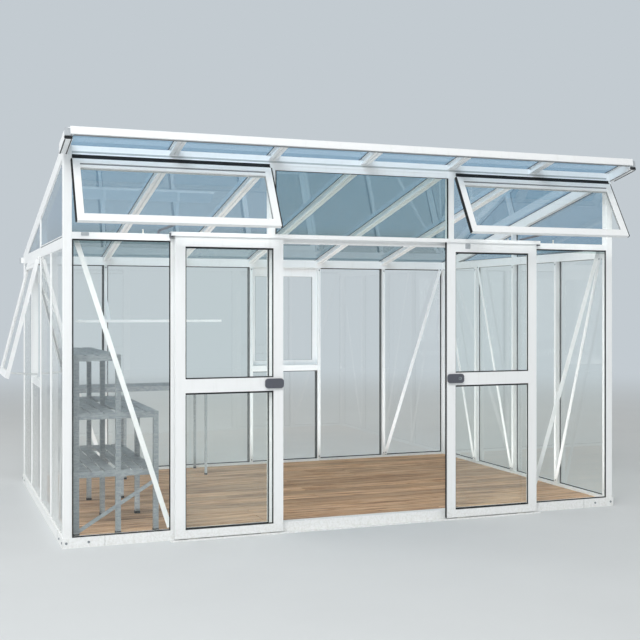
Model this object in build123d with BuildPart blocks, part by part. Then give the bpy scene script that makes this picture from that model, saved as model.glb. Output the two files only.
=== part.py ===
from build123d import *
import os
from math import cos, hypot, radians, sin, tan

os.makedirs("parts", exist_ok=True)

# A lean-to glass greenhouse in white aluminium: high front, roof falling to the back.
# X runs along the front, the front faces -Y, Z is up.
# The origin is the middle of the floor plan, on the ground.

# Plan and heights, in millimetres and degrees
pitch = 620
door_bays = 2
end_bays = 2
bays_deep = 4
eave_height = 1795
roof_pitch = 12
transom_drop = 7
overhang_front = 240
overhang_back = 12

# Frame members
post = 50
post_round = 3
base_height = 60
base_step = 5
base_corner_leg = 225
base_corner_slant = 18
transom_height = 40
header_height = 58
header_lip_height = 30
header_lip_inset = 4
header_lip_thick = 10
eave_beam_height = 60
front_post_width = 40
gable_rail_height = 64

# Glazing bar section
bar_face = 36
bar_lip = 5
bar_web = 14
bar_foot = 24
foot_thick = 10
slot_width = 8
slot_depth = 6

# Roof bars: a wide foot hangs below the plane that the roof rests on
roof_thick = 20
roof_bar_depth = 48
roof_bar_web = 20
roof_bar_foot = 52

# Glass
glass_thick = 4
glass_gap = 2

# Roof edges
verge_width = 23
verge_out = 23
verge_drop = 50
fascia_height = 44
fascia_depth = 22
fascia_wall = 5
fascia_inset = 10

# Gutter and downpipe
gutter_width = 72
gutter_wall = 3
gutter_clear = 1
gutter_overrun = 20
pipe_radius = 17
pipe_foot = 100
pipe_shoe_reach = 60
pipe_clip_height = 24

# Diagonal braces
brace_width = 30
brace_thick = 4
brace_inset = 50
brace_rise = 26
brace_overlap = 12

# Hinge bead and hood of the top-hung leaves
bead_radius = 5
hinge_out = 8
hood_wall = 4
hinge_gap = 0.3

# Top-hung vents over the doors
vent_angle = 30
vent_overlap = 22
vent_side_gap = 22
vent_drop = 28
leaf_head_rail = 62
leaf_face = 41
leaf_foot_rail = 48
leaf_thick = 25
leaf_glass_set = 10
groove_width = 12
groove_depth = 4
groove_down = 31
fin_thick = 4
stay_width = 14
stay_thick = 4
stay_clear = 2
stay_swing = 85

# Top-hung windows
window_angle = 14
window_drop = 9
window_overlap = 6
window_side_gap = 6
back_window_bay = 2
left_window_bay = 1
sill_height = 50
sill_bottom = 836

# Sliding doors, hung outside the front wall from rollers in a hooded track
door_thick = 28
door_stile = 62
door_head_rail = 76
door_foot_rail = 50
door_mid_rail = 82
door_mid_bottom = 880
door_bottom = 14
door_overlap = 60
door_meeting_gap = 9
door_out = 20
seal_thick = 4
seal_width = 16
hood_gap = 5
track_wall = 4
track_drop = 24
track_over = 11
track_overrun = 25
ledge_width = 11
roller_radius = 12
roller_width = 6
roller_drop = 20
roller_inset = 110
guide_floor = 4
guide_lip = 5
glide_length = 60
glide_width = 12
lock_length = 118
lock_height = 60
lock_round = 20
lock_thick = 14
lock_centre = 925

# Floor
bearer_width = 70
bearer_height = 20
deck_thick = 25
floor_gap = 0.5

# Stepped staging beside the left wall, bench and shelf along the back wall
staging_tube = 30
staging_side_gap = 23
staging_end_gap = 35
staging_width = 500
staging_step = 274
staging_length = 1200
staging_top = 1110
staging_tier = 767
staging_low = 425
staging_strip = 22
slat_gap = 12
slat_thick = 7
bench_length = 1312
bench_depth = 385
bench_tube = 18
shelf_start = 380
shelf_length = 1170
shelf_depth = 165
shelf_height = 1289
shelf_thick = 20
shelf_strut = 8
shelf_strut_width = 24

seat_gap = 0.3

# Derived sizes
bays_wide = door_bays + 2 * end_bays
half_w = bays_wide * pitch / 2
half_d = bays_deep * pitch / 2
face_x = half_w + post / 2
face_y = half_d + post / 2
slope = tan(radians(roof_pitch))
roof_sin = sin(radians(roof_pitch))
roof_cos = cos(radians(roof_pitch))
roof_front = -face_y - overhang_front
roof_back = face_y + overhang_back
transom_bottom = eave_height - transom_drop
transom_top = transom_bottom + transom_height
deck_top = bearer_height + deck_thick


def roof_under(y):
    """Height of the roof's underside at a depth y."""
    return eave_height + (half_d - y) * slope


header_bottom = roof_under(-face_y) - header_height
header_lip_bottom = header_bottom - header_lip_height
beam_bottom = eave_height - eave_beam_height
roof_underside = Plane(origin=(0, half_d, eave_height), x_dir=(1, 0, 0), z_dir=(0, roof_sin, roof_cos))

# Each wall: middle of its outer face on the ground, and its direction seen from outside
walls = {
    "front": ((0, -face_y), (1, 0)),
    "right": ((face_x, 0), (0, 1)),
    "back": ((0, face_y), (-1, 0)),
    "left": ((-face_x, 0), (0, -1)),
}


def level(side, along=0, height=0, inset=0):
    """Horizontal plane on a wall: local x along the wall, local y inwards."""
    (ox, oy), (dx, dy) = walls[side]
    origin = (ox + dx * along - dy * inset, oy + dy * along + dx * inset, height)
    return Plane(origin=origin, x_dir=(dx, dy, 0), z_dir=(0, 0, 1))


def upright(side, along=0, height=0, inset=0):
    """Vertical plane on a wall: local x along the wall, local y up, normal outwards."""
    (ox, oy), (dx, dy) = walls[side]
    origin = (ox + dx * along - dy * inset, oy + dy * along + dx * inset, height)
    return Plane(origin=origin, x_dir=(dx, dy, 0), z_dir=(dy, -dx, 0))


def along_wall(side, along=0):
    """Plane square to a wall's length: local x outwards, local y up, normal back along the wall."""
    (ox, oy), (dx, dy) = walls[side]
    origin = (ox + dx * along, oy + dy * along, 0)
    return Plane(origin=origin, x_dir=(dy, -dx, 0), z_dir=(-dx, -dy, 0))


def slope_end(x, y):
    """Plane square to the roof's fall on its top face: local x along X, local y down into the roof."""
    top = roof_under(y) + roof_thick / roof_cos
    return Plane(origin=(x, y, top), x_dir=(1, 0, 0), z_dir=(0, roof_cos, -roof_sin))


def bar_section(depth, web=bar_web, foot=bar_foot):
    """Outline of a glazing bar: outer cap, web, and inner foot with a bolt slot."""
    half_slot = slot_width / 2
    half = [
        (bar_face / 2, 0),
        (bar_face / 2, bar_lip),
        (web / 2, bar_lip),
        (web / 2, depth - foot_thick),
        (foot / 2, depth - foot_thick),
        (foot / 2, depth),
        (half_slot, depth),
        (half_slot, depth - slot_depth),
    ]
    mirrored = [(-x, y) for x, y in reversed(half)]
    Polygon(*half, *mirrored, align=None)


def hood_section(height):
    """Outline of the hood over a hinge bead whose axis is at this height."""
    over = height + bead_radius + hinge_gap
    out = hinge_out + bead_radius + hinge_gap
    Polygon(
        (0, over),
        (out, over),
        (out, height - bead_radius / 2),
        (out + hood_wall, height - bead_radius / 2),
        (out + hood_wall, over + hood_wall),
        (0, over + hood_wall + hood_wall),
        align=None,
    )


def strip(start, end, width):
    """Outline of a flat strip between two points, cut square."""
    run = hypot(end[0] - start[0], end[1] - start[1])
    side_x = -(end[1] - start[1]) / run * width / 2
    side_y = (end[0] - start[0]) / run * width / 2
    Polygon(
        (start[0] + side_x, start[1] + side_y),
        (end[0] + side_x, end[1] + side_y),
        (end[0] - side_x, end[1] - side_y),
        (start[0] - side_x, start[1] - side_y),
        align=None,
    )


def rect(left, right, bottom, top, mode=Mode.ADD):
    """Rectangle between two edges each way."""
    with Locations(((left + right) / 2, (bottom + top) / 2)):
        Rectangle(right - left, top - bottom, mode=mode)


# Base: four corner pieces with slanted ends and four rails between them
base_depth = post + base_step
with BuildPart() as base_corners:
    for sx in (-1, 1):
        for sy in (-1, 1):
            out_x = sx * (face_x + base_step)
            out_y = sy * (face_y + base_step)
            in_x = out_x - sx * base_depth
            in_y = out_y - sy * base_depth
            end_x = out_x - sx * base_corner_leg
            end_y = out_y - sy * base_corner_leg
            with BuildSketch(Plane.XY):
                with BuildLine():
                    Polyline(
                        (out_x, out_y),
                        (end_x - sx * base_corner_slant, out_y),
                        (end_x, in_y),
                        (in_x, in_y),
                        (in_x, end_y),
                        (out_x, end_y - sy * base_corner_slant),
                        close=True,
                    )
                make_face()
            extrude(amount=base_height)
base_corners.part.label = "base_corners"
export_step(base_corners.part, "parts/base_corners.step")

for side, half in (("front", face_x), ("back", face_x), ("left", face_y), ("right", face_y)):
    reach = half + base_step - base_corner_leg
    with BuildPart() as base_rail:
        with BuildSketch(level(side, inset=-base_step)):
            with BuildLine():
                Polyline(
                    (-reach + base_corner_slant, 0),
                    (reach - base_corner_slant, 0),
                    (reach, base_depth),
                    (-reach, base_depth),
                    close=True,
                )
            make_face()
        extrude(amount=base_height)
    base_rail.part.label = f"base_{side}"
    export_step(base_rail.part, f"parts/base_{side}.step")

# Floor: bearers across the depth and a boarded deck between the base rails
room_x = half_w - post / 2
room_y = half_d - post / 2
with BuildPart() as floor_bearers:
    for i in range(1, bays_wide):
        with BuildSketch(Plane.XY):
            with Locations((i * pitch - half_w, 0)):
                Rectangle(bearer_width, 2 * (room_y - floor_gap))
    extrude(amount=bearer_height)
floor_bearers.part.label = "floor_bearers"
export_step(floor_bearers.part, "parts/floor_bearers.step")

with BuildPart() as floor_deck:
    with BuildSketch(Plane.XY.offset(bearer_height)):
        Rectangle(2 * (room_x - floor_gap), 2 * (room_y - floor_gap))
    extrude(amount=deck_thick)
floor_deck.part.label = "floor_deck"
export_step(floor_deck.part, "parts/floor_deck.step")

# Staging: two end frames, a middle one, long rails, and a flat brace across the front end
staging_left = -room_x + staging_side_gap
staging_right = staging_left + staging_width
staging_front = -room_y + staging_end_gap
frame_tops = {
    "top": staging_top - slat_thick,
    "tier": staging_tier - slat_thick,
    "low": staging_low - slat_thick,
}
step_leg = staging_left + staging_step - staging_tube
outer_leg = staging_right - staging_tube
staging_back = staging_front + staging_length
middle_frame = (staging_front + staging_back - staging_tube) / 2
staging_frames = (staging_front, middle_frame, staging_back - staging_tube)
bench_right = staging_left + bench_length
bench_back = room_y - staging_end_gap
bench_front = bench_back - bench_depth
bench_frames = (staging_left, (staging_left + bench_right - bench_tube) / 2, bench_right - bench_tube)
with BuildPart() as staging_frame:
    for start in staging_frames:
        with BuildSketch(Plane.XZ.offset(-start)):
            for leg, top in ((staging_left, "top"), (step_leg, "top"), (outer_leg, "tier")):
                rect(leg, leg + staging_tube, deck_top, frame_tops[top])
            for edge, top in ((step_leg, "top"), (outer_leg, "tier"), (outer_leg, "low")):
                rect(staging_left, edge + staging_tube, frame_tops[top] - staging_tube, frame_tops[top])
        extrude(amount=-staging_tube)
    with BuildSketch(Plane.XZ.offset(-staging_front)):
        for edge, top in (
            (staging_left, "top"),
            (step_leg, "top"),
            (staging_left, "tier"),
            (outer_leg, "tier"),
            (staging_left, "low"),
            (outer_leg, "low"),
        ):
            rect(edge, edge + staging_tube, frame_tops[top] - staging_tube, frame_tops[top])
    extrude(amount=-staging_length)
    with BuildSketch(Plane.XZ.offset(-staging_front)):
        low_corner = (staging_left + staging_tube / 2, deck_top + brace_rise)
        high_corner = (staging_right - staging_tube / 2, frame_tops["low"] - 2 * staging_tube)
        strip(low_corner, high_corner, staging_strip)
    extrude(amount=brace_thick)
    for start in bench_frames:
        with BuildSketch(Plane.YZ.offset(start)):
            for leg in (bench_front, bench_back - bench_tube):
                rect(leg, leg + bench_tube, deck_top, frame_tops["tier"])
            rect(bench_front, bench_back, frame_tops["tier"] - bench_tube, frame_tops["tier"])
        extrude(amount=bench_tube)
    with BuildSketch(Plane.YZ.offset(staging_left)):
        for edge in (bench_front, bench_back - bench_tube):
            rect(edge, edge + bench_tube, frame_tops["tier"] - staging_tube, frame_tops["tier"])
    extrude(amount=bench_length)
staging_frame.part.label = "staging_frame"
export_step(staging_frame.part, "parts/staging_frame.step")


def slats(left, right, height, count):
    """Outlines of flat slats side by side between two edges, lying on a height."""
    width = (right - left - (count - 1) * slat_gap) / count
    for i in range(count):
        start = left + i * (width + slat_gap)
        rect(start, start + width, height, height + slat_thick)


with BuildPart() as staging_slats:
    with BuildSketch(Plane.XZ.offset(-staging_front)):
        slats(staging_left, step_leg + staging_tube, frame_tops["top"], 4)
        for level_name in ("tier", "low"):
            slats(staging_left + staging_tube + seat_gap, step_leg - seat_gap, frame_tops[level_name], 3)
        slats(step_leg + staging_tube + seat_gap, staging_right, frame_tops["tier"], 3)
        slats(step_leg + staging_tube + seat_gap, outer_leg - seat_gap, frame_tops["low"], 3)
    extrude(amount=-staging_length)
    with BuildSketch(Plane.YZ.offset(staging_left)):
        slats(bench_front, bench_back, frame_tops["tier"], 5)
    extrude(amount=bench_length)
staging_slats.part.label = "staging_slats"
export_step(staging_slats.part, "parts/staging_slats.step")

# Shelf on the back wall, against the feet of the bars, with a strut on each of the two bars behind it
shelf_left = -half_w + shelf_start
shelf_front = room_y - shelf_depth
with BuildPart() as wall_shelf:
    with BuildSketch(Plane.YZ.offset(shelf_left)):
        rect(shelf_front, room_y, shelf_height - shelf_thick, shelf_height)
    extrude(amount=shelf_length)
    for line in (1, 2):
        with BuildSketch(Plane.YZ.offset(line * pitch - half_w - shelf_strut_width / 2)):
            Polygon(
                (shelf_front, shelf_height),
                (shelf_front + shelf_strut, shelf_height),
                (room_y, shelf_height + shelf_depth - shelf_strut),
                (room_y, shelf_height + shelf_depth),
                align=None,
            )
        extrude(amount=shelf_strut_width)
wall_shelf.part.label = "wall_shelf"
export_step(wall_shelf.part, "parts/wall_shelf.step")

# Corner posts, cut to the fall of the roof
with BuildPart() as corner_posts:
    with BuildSketch(Plane.XY.offset(base_height)):
        with GridLocations(2 * half_w, 2 * half_d, 2, 2):
            RectangleRounded(post, post, post_round)
    extrude(amount=roof_under(-face_y) - base_height)
    split(bisect_by=roof_underside, keep=Keep.BOTTOM)
corner_posts.part.label = "corner_posts"
export_step(corner_posts.part, "parts/corner_posts.step")

# Front wall: transom and header from corner post to corner post, posts beside the doorway
span_x = half_w - post / 2
with BuildPart() as front_transom:
    with BuildSketch(along_wall("front", -span_x)):
        rect(-post, 0, transom_bottom, transom_top)
    extrude(amount=-2 * span_x)
front_transom.part.label = "front_transom"
export_step(front_transom.part, "parts/front_transom.step")

vent_hinge = header_bottom - bead_radius - hinge_gap
doorway_reach = door_bays * pitch / 2
header_spans = (
    (-span_x, -doorway_reach - front_post_width / 2),
    (-doorway_reach + front_post_width / 2, doorway_reach - front_post_width / 2),
    (doorway_reach + front_post_width / 2, span_x),
)
vent_spans = []
for first in (0, bays_wide - end_bays):
    start = first * pitch - half_w
    vent_spans.append((start + vent_side_gap, start + end_bays * pitch - vent_side_gap))
with BuildPart() as front_header:
    with BuildSketch(along_wall("front", -span_x)):
        with BuildLine():
            Polyline(
                (0, roof_under(-face_y)),
                (0, header_bottom),
                (-post, header_bottom),
                (-post, roof_under(-face_y + post)),
                close=True,
            )
        make_face()
    extrude(amount=-2 * span_x)
    for left, right in header_spans:
        with BuildSketch(along_wall("front", left)):
            rect(-header_lip_inset - header_lip_thick, -header_lip_inset, header_lip_bottom, header_bottom)
        extrude(amount=left - right)
    for left, right in vent_spans:
        with BuildSketch(along_wall("front", left)):
            hood_section(vent_hinge)
        extrude(amount=left - right)
front_header.part.label = "front_header"
export_step(front_header.part, "parts/front_header.step")

# Front posts: two beside the doorway, two above them between the vents and the fixed pane
with BuildPart() as front_posts:
    for i in (end_bays, bays_wide - end_bays):
        along = i * pitch - half_w
        for bottom, top in ((base_height, transom_bottom), (transom_top, header_bottom)):
            with BuildSketch(level("front", along, bottom)):
                rect(-front_post_width / 2, front_post_width / 2, 0, post)
            extrude(amount=top - bottom)
front_posts.part.label = "front_posts"
export_step(front_posts.part, "parts/front_posts.step")

with BuildPart() as front_bars:
    for i in (*range(1, end_bays), *range(bays_wide - end_bays + 1, bays_wide)):
        with BuildSketch(level("front", i * pitch - half_w, base_height)):
            bar_section(post)
        extrude(amount=transom_bottom - base_height)
front_bars.part.label = "front_bars"
export_step(front_bars.part, "parts/front_bars.step")

# Back wall: eave beam with the window's hood, five bars and the sill under the window
span_y = half_d - post / 2
window_width = pitch - 2 * window_side_gap
window_line = {"back": back_window_bay * pitch - half_w, "left": left_window_bay * pitch - half_d}
window_hinge = beam_bottom - bead_radius - hinge_gap
with BuildPart() as back_eave_beam:
    with BuildSketch(along_wall("back", -span_x)):
        with BuildLine():
            Polyline(
                (0, beam_bottom),
                (0, roof_under(face_y)),
                (-post, roof_under(face_y - post)),
                (-post, beam_bottom),
                close=True,
            )
        make_face()
    extrude(amount=-2 * span_x)
    with BuildSketch(along_wall("back", window_line["back"] + window_side_gap)):
        hood_section(window_hinge)
    extrude(amount=-window_width)
back_eave_beam.part.label = "back_eave_beam"
export_step(back_eave_beam.part, "parts/back_eave_beam.step")

with BuildPart() as back_bars:
    for i in range(1, bays_wide):
        with BuildSketch(level("back", i * pitch - half_w, base_height)):
            bar_section(post)
        extrude(amount=beam_bottom - base_height)
back_bars.part.label = "back_bars"
export_step(back_bars.part, "parts/back_bars.step")

# Side walls: a rail at eave height with bars below it, and one bar above it up to the gable's sloping rail
gable_bar = bays_deep // 2
gable_rail_under = roof_underside.offset(-gable_rail_height)
for side in ("left", "right"):
    with BuildPart() as side_rail:
        with BuildSketch(along_wall(side, -span_y)):
            rect(-post, 0, beam_bottom, eave_height)
        extrude(amount=-2 * span_y)
        if side == "left":
            with BuildSketch(along_wall(side, window_line[side] + window_side_gap)):
                hood_section(window_hinge)
            extrude(amount=-window_width)
    side_rail.part.label = f"{side}_rail"
    export_step(side_rail.part, f"parts/{side}_rail.step")

    with BuildPart() as gable_rail:
        with BuildSketch(upright(side)):
            rect(-span_y, span_y, eave_height, roof_under(-face_y))
        extrude(amount=-post)
        split(bisect_by=roof_underside, keep=Keep.BOTTOM)
        split(bisect_by=gable_rail_under, keep=Keep.TOP)
    gable_rail.part.label = f"{side}_gable_rail"
    export_step(gable_rail.part, f"parts/{side}_gable_rail.step")

    with BuildPart() as side_bars:
        for i in range(1, bays_deep):
            with BuildSketch(level(side, i * pitch - half_d, base_height)):
                bar_section(post)
            extrude(amount=beam_bottom - base_height)
        with BuildSketch(level(side, gable_bar * pitch - half_d, eave_height)):
            bar_section(post)
        extrude(amount=roof_under(-face_y) - eave_height)
        split(bisect_by=gable_rail_under, keep=Keep.BOTTOM)
    side_bars.part.label = f"{side}_bars"
    export_step(side_bars.part, f"parts/{side}_bars.step")

# Gutter behind the back eave, open on top, and its downpipe at the left corner
gutter_bottom = beam_bottom + 2 * hood_wall + gutter_clear
gutter_top = roof_under(roof_back) - gutter_clear
gutter_reach = face_x + gutter_overrun
with BuildPart() as back_gutter:
    with BuildSketch(along_wall("back", -gutter_reach)):
        rect(0, gutter_width, gutter_bottom, gutter_top)
    extrude(amount=-2 * gutter_reach)
    with BuildSketch(along_wall("back", -gutter_reach + gutter_wall)):
        rect(gutter_wall, gutter_width - gutter_wall, gutter_bottom + gutter_wall, eave_height)
    extrude(amount=-2 * (gutter_reach - gutter_wall), mode=Mode.SUBTRACT)
back_gutter.part.label = "back_gutter"
export_step(back_gutter.part, "parts/back_gutter.step")

pipe_y = face_y + gutter_width / 2
with BuildPart() as downpipe:
    with BuildLine() as pipe_path:
        FilletPolyline(
            (-half_w, pipe_y, gutter_bottom),
            (-half_w, pipe_y, pipe_foot),
            (-half_w, pipe_y + pipe_shoe_reach, pipe_foot - pipe_shoe_reach),
            radius=2 * pipe_radius,
        )
    with BuildSketch(Plane(origin=(-half_w, pipe_y, gutter_bottom), z_dir=(0, 0, -1))):
        Circle(pipe_radius)
    sweep(path=pipe_path.wires()[0])
    for height in (gutter_bottom - 3 * pipe_radius, (gutter_bottom + pipe_foot) / 2, 3 * pipe_foot):
        with BuildSketch(Plane.XY.offset(height)):
            rect(-half_w - pipe_radius, -half_w + pipe_radius, face_y, pipe_y)
        extrude(amount=pipe_clip_height)
downpipe.part.label = "downpipe"
export_step(downpipe.part, "parts/downpipe.step")

# Roof: bars and glass between the front fascia and the back eave
roof_run = (roof_back - roof_front) / roof_cos
bar_start_y = roof_front + fascia_depth * roof_cos
bar_run = roof_run - fascia_depth
with BuildPart() as roof_bars:
    for i in range(1, bays_wide):
        with BuildSketch(slope_end(i * pitch - half_w, bar_start_y)):
            bar_section(roof_bar_depth, roof_bar_web, roof_bar_foot)
        extrude(amount=bar_run)
    for near, far in ((-face_y, -face_y + post), (face_y - post, roof_back)):
        with BuildSketch(Plane.YZ):
            Polygon(
                (near, beam_bottom),
                (far, beam_bottom),
                (far, roof_under(far)),
                (near, roof_under(near)),
                align=None,
            )
        extrude(amount=half_w, both=True, mode=Mode.SUBTRACT)
roof_bars.part.label = "roof_bars"
export_step(roof_bars.part, "parts/roof_bars.step")

# Each verge is a strip over the gable, with a box below it from the fascia back to the corner post
with BuildPart() as roof_verges:
    for sx in (-1, 1):
        inner, outer = sorted((-sx * verge_width, sx * verge_out))
        with BuildSketch(slope_end(sx * face_x, bar_start_y)):
            rect(inner, outer, roof_thick, roof_thick + verge_drop)
        extrude(amount=bar_run)
    split(bisect_by=Plane(origin=(0, -face_y, 0), z_dir=(0, 1, 0)), keep=Keep.BOTTOM)
    for sx in (-1, 1):
        inner, outer = sorted((-sx * verge_width, 0))
        with BuildSketch(slope_end(sx * face_x, bar_start_y)):
            rect(inner, outer, 0, roof_thick)
        extrude(amount=bar_run)
roof_verges.part.label = "roof_verges"
export_step(roof_verges.part, "parts/roof_verges.step")

fascia_reach = face_x - fascia_inset
roof_top_front = roof_under(roof_front) + roof_thick / roof_cos
fascia_plane = Plane(
    origin=(-fascia_reach, roof_front, roof_top_front),
    x_dir=(0, -roof_cos, roof_sin),
    z_dir=(1, 0, 0),
)
with BuildPart() as roof_fascia:
    with BuildSketch(fascia_plane):
        rect(-fascia_wall, 0, 0, fascia_height)
        rect(-fascia_depth, 0, 0, fascia_wall)
        rect(-fascia_depth, 0, fascia_height - fascia_wall, fascia_height)
    extrude(amount=2 * fascia_reach)
roof_fascia.part.label = "roof_fascia"
export_step(roof_fascia.part, "parts/roof_fascia.step")


def pane_edges(lines, first, last, half_first, half_last):
    """Left and right edges of a pane between two frame lines."""
    left = lines[first] + half_first + glass_gap
    right = lines[last] - half_last - glass_gap
    return left, right


wide_lines = [i * pitch - half_w for i in range(bays_wide + 1)]
deep_lines = [i * pitch - half_d for i in range(bays_deep + 1)]
half_web = bar_web / 2
half_post = post / 2
half_door_post = front_post_width / 2


def line_half(lines, index):
    """Half width of the frame member on a line, where the glass meets it."""
    return half_post if index in (0, len(lines) - 1) else half_web


# Front glass: fixed panes beside the doorway and one wide pane above it
with BuildPart() as front_glass:
    with BuildSketch(upright("front", inset=bar_lip)):
        for i in (*range(end_bays), *range(bays_wide - end_bays, bays_wide)):
            half_left = half_door_post if i == bays_wide - end_bays else line_half(wide_lines, i)
            half_right = half_door_post if i == end_bays - 1 else line_half(wide_lines, i + 1)
            left, right = pane_edges(wide_lines, i, i + 1, half_left, half_right)
            rect(left, right, base_height, transom_bottom)
        left, right = pane_edges(wide_lines, end_bays, bays_wide - end_bays, half_door_post, half_door_post)
        rect(left, right, transom_top, header_lip_bottom)
    extrude(amount=-glass_thick)
front_glass.part.label = "front_glass"
export_step(front_glass.part, "parts/front_glass.step")

# Side glass: full panes below the rail, cut panes above it up to the roof
for side in ("left", "right"):
    with BuildPart() as side_glass:
        with BuildSketch(upright(side, inset=bar_lip)):
            for i in range(bays_deep):
                left, right = pane_edges(
                    deep_lines, i, i + 1, line_half(deep_lines, i), line_half(deep_lines, i + 1)
                )
                has_window = side == "left" and i == left_window_bay
                rect(left, right, base_height, sill_bottom if has_window else beam_bottom)
            for first, last in ((0, gable_bar), (gable_bar, bays_deep)):
                left, right = pane_edges(
                    deep_lines, first, last, line_half(deep_lines, first), line_half(deep_lines, last)
                )
                rect(left, right, eave_height, roof_under(-face_y))
        extrude(amount=-glass_thick)
        split(bisect_by=gable_rail_under.offset(-seat_gap), keep=Keep.BOTTOM)
    side_glass.part.label = f"{side}_glass"
    export_step(side_glass.part, f"parts/{side}_glass.step")

with BuildPart() as back_glass:
    with BuildSketch(upright("back", inset=bar_lip)):
        for i in range(bays_wide):
            left, right = pane_edges(
                wide_lines, i, i + 1, line_half(wide_lines, i), line_half(wide_lines, i + 1)
            )
            rect(left, right, base_height, sill_bottom if i == back_window_bay else beam_bottom)
    extrude(amount=-glass_thick)
back_glass.part.label = "back_glass"
export_step(back_glass.part, "parts/back_glass.step")

with BuildPart() as roof_glass:
    for i in range(bays_wide):
        edge_left = verge_width - half_post if i == 0 else roof_bar_web / 2
        edge_right = verge_width - half_post if i == bays_wide - 1 else roof_bar_web / 2
        left, right = pane_edges(wide_lines, i, i + 1, edge_left, edge_right)
        with BuildSketch(slope_end(0, bar_start_y)):
            rect(left, right, bar_lip, bar_lip + glass_thick)
        extrude(amount=bar_run)
roof_glass.part.label = "roof_glass"
export_step(roof_glass.part, "parts/roof_glass.step")

# Diagonal flat braces on the inner faces: upper end first, then lower end
brace_foot = deck_top + brace_rise
braces = {
    "front_braces": (("front", 0, 1), ("front", bays_wide, bays_wide - 1)),
    "back_braces": (("back", 0, 1), ("back", bays_wide, bays_wide - 1)),
    "left_braces": (("left", bays_deep, bays_deep - 1), ("left", 0, 1)),
    "right_braces": (
        ("right", 0, 1),
        ("right", bays_deep - 1, bays_deep - 2),
        ("right", bays_deep, bays_deep - 1),
    ),
}
for name, runs in braces.items():
    with BuildPart() as brace:
        for side, top_line, foot_line in runs:
            lines = wide_lines if side in ("front", "back") else deep_lines
            inwards = 1 if foot_line > top_line else -1
            top_along = lines[top_line] + inwards * brace_inset
            foot_along = lines[foot_line] - inwards * brace_overlap
            carrier = transom_bottom if side == "front" else beam_bottom
            with BuildSketch(upright(side, inset=post)):
                strip((top_along, carrier + brace_overlap), (foot_along, brace_foot), brace_width)
            extrude(amount=-brace_thick)
    brace.part.label = name
    export_step(brace.part, f"parts/{name}.step")

# Sills under the two windows, between the webs of their bars
sill_top = sill_bottom + sill_height
with BuildPart() as window_sills:
    for side in ("back", "left"):
        with BuildSketch(along_wall(side, window_line[side] + half_web)):
            rect(-post + foot_thick, -bar_lip, sill_bottom, sill_top)
        extrude(amount=bar_web - pitch)
window_sills.part.label = "window_sills"
export_step(window_sills.part, "parts/window_sills.step")

# Top-hung leaves: wall, left, right, hinge height, length, angle, height of the stay's seat, drop of the rail
vent_length = vent_hinge - transom_top + vent_overlap
window_length = window_hinge - sill_top + window_overlap
back_span = (window_line["back"] + window_side_gap, window_line["back"] + window_side_gap + window_width)
left_span = (window_line["left"] + window_side_gap, window_line["left"] + window_side_gap + window_width)
leaves = {
    "left_vent": ("front", *vent_spans[0], vent_hinge, vent_length, vent_angle, transom_top, vent_drop),
    "right_vent": ("front", *vent_spans[1], vent_hinge, vent_length, vent_angle, transom_top, vent_drop),
    "back_window": ("back", *back_span, window_hinge, window_length, 0, sill_top, window_drop),
    "left_window": ("left", *left_span, window_hinge, window_length, window_angle, sill_top, window_drop),
}
leaf_front = leaf_thick - hinge_out + seat_gap


def leaf_plane(side, height, angle):
    """Plane of a top-hung leaf through its hinge axis: local y up the leaf, normal outwards."""
    closed = upright(side, height=height, inset=-hinge_out)
    normal = closed.z_dir * cos(radians(angle)) + Vector(0, 0, 1) * sin(radians(angle))
    return Plane(origin=closed.origin, x_dir=closed.x_dir, z_dir=normal)


for name, (side, left, right, hinge, length, angle, seat, drop) in leaves.items():
    hung = leaf_plane(side, hinge, angle)
    with BuildPart() as leaf:
        with BuildSketch(hung.offset(leaf_front)):
            rect(left, right, -length, -drop)
            rect(
                left + leaf_face,
                right - leaf_face,
                -length + leaf_foot_rail,
                -drop - leaf_head_rail,
                Mode.SUBTRACT,
            )
        extrude(amount=-leaf_thick)
        with BuildSketch(hung.offset(leaf_front)):
            groove_top = -drop - groove_down
            rect(left + leaf_face, right - leaf_face, groove_top - groove_width, groove_top)
        extrude(amount=-groove_depth, mode=Mode.SUBTRACT)
        with BuildSketch(hung.offset(fin_thick / 2)):
            rect(left, right, -drop, 0)
        extrude(amount=-fin_thick)
        bead_end = Plane(origin=hung.from_local_coords((left, 0, 0)), z_dir=hung.x_dir)
        with BuildSketch(bead_end):
            Circle(bead_radius)
        extrude(amount=right - left)
    leaf.part.label = name
    export_step(leaf.part, f"parts/{name}.step")

with BuildPart() as leaf_glass:
    for side, left, right, hinge, length, angle, seat, drop in leaves.values():
        with BuildSketch(leaf_plane(side, hinge, angle).offset(leaf_front - leaf_glass_set)):
            edge = leaf_face + seat_gap
            bottom = -length + leaf_foot_rail + seat_gap
            top = -drop - leaf_head_rail - seat_gap
            rect(left + edge, right - edge, bottom, top)
        extrude(amount=-glass_thick)
leaf_glass.part.label = "leaf_glass"
export_step(leaf_glass.part, "parts/leaf_glass.step")

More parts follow.
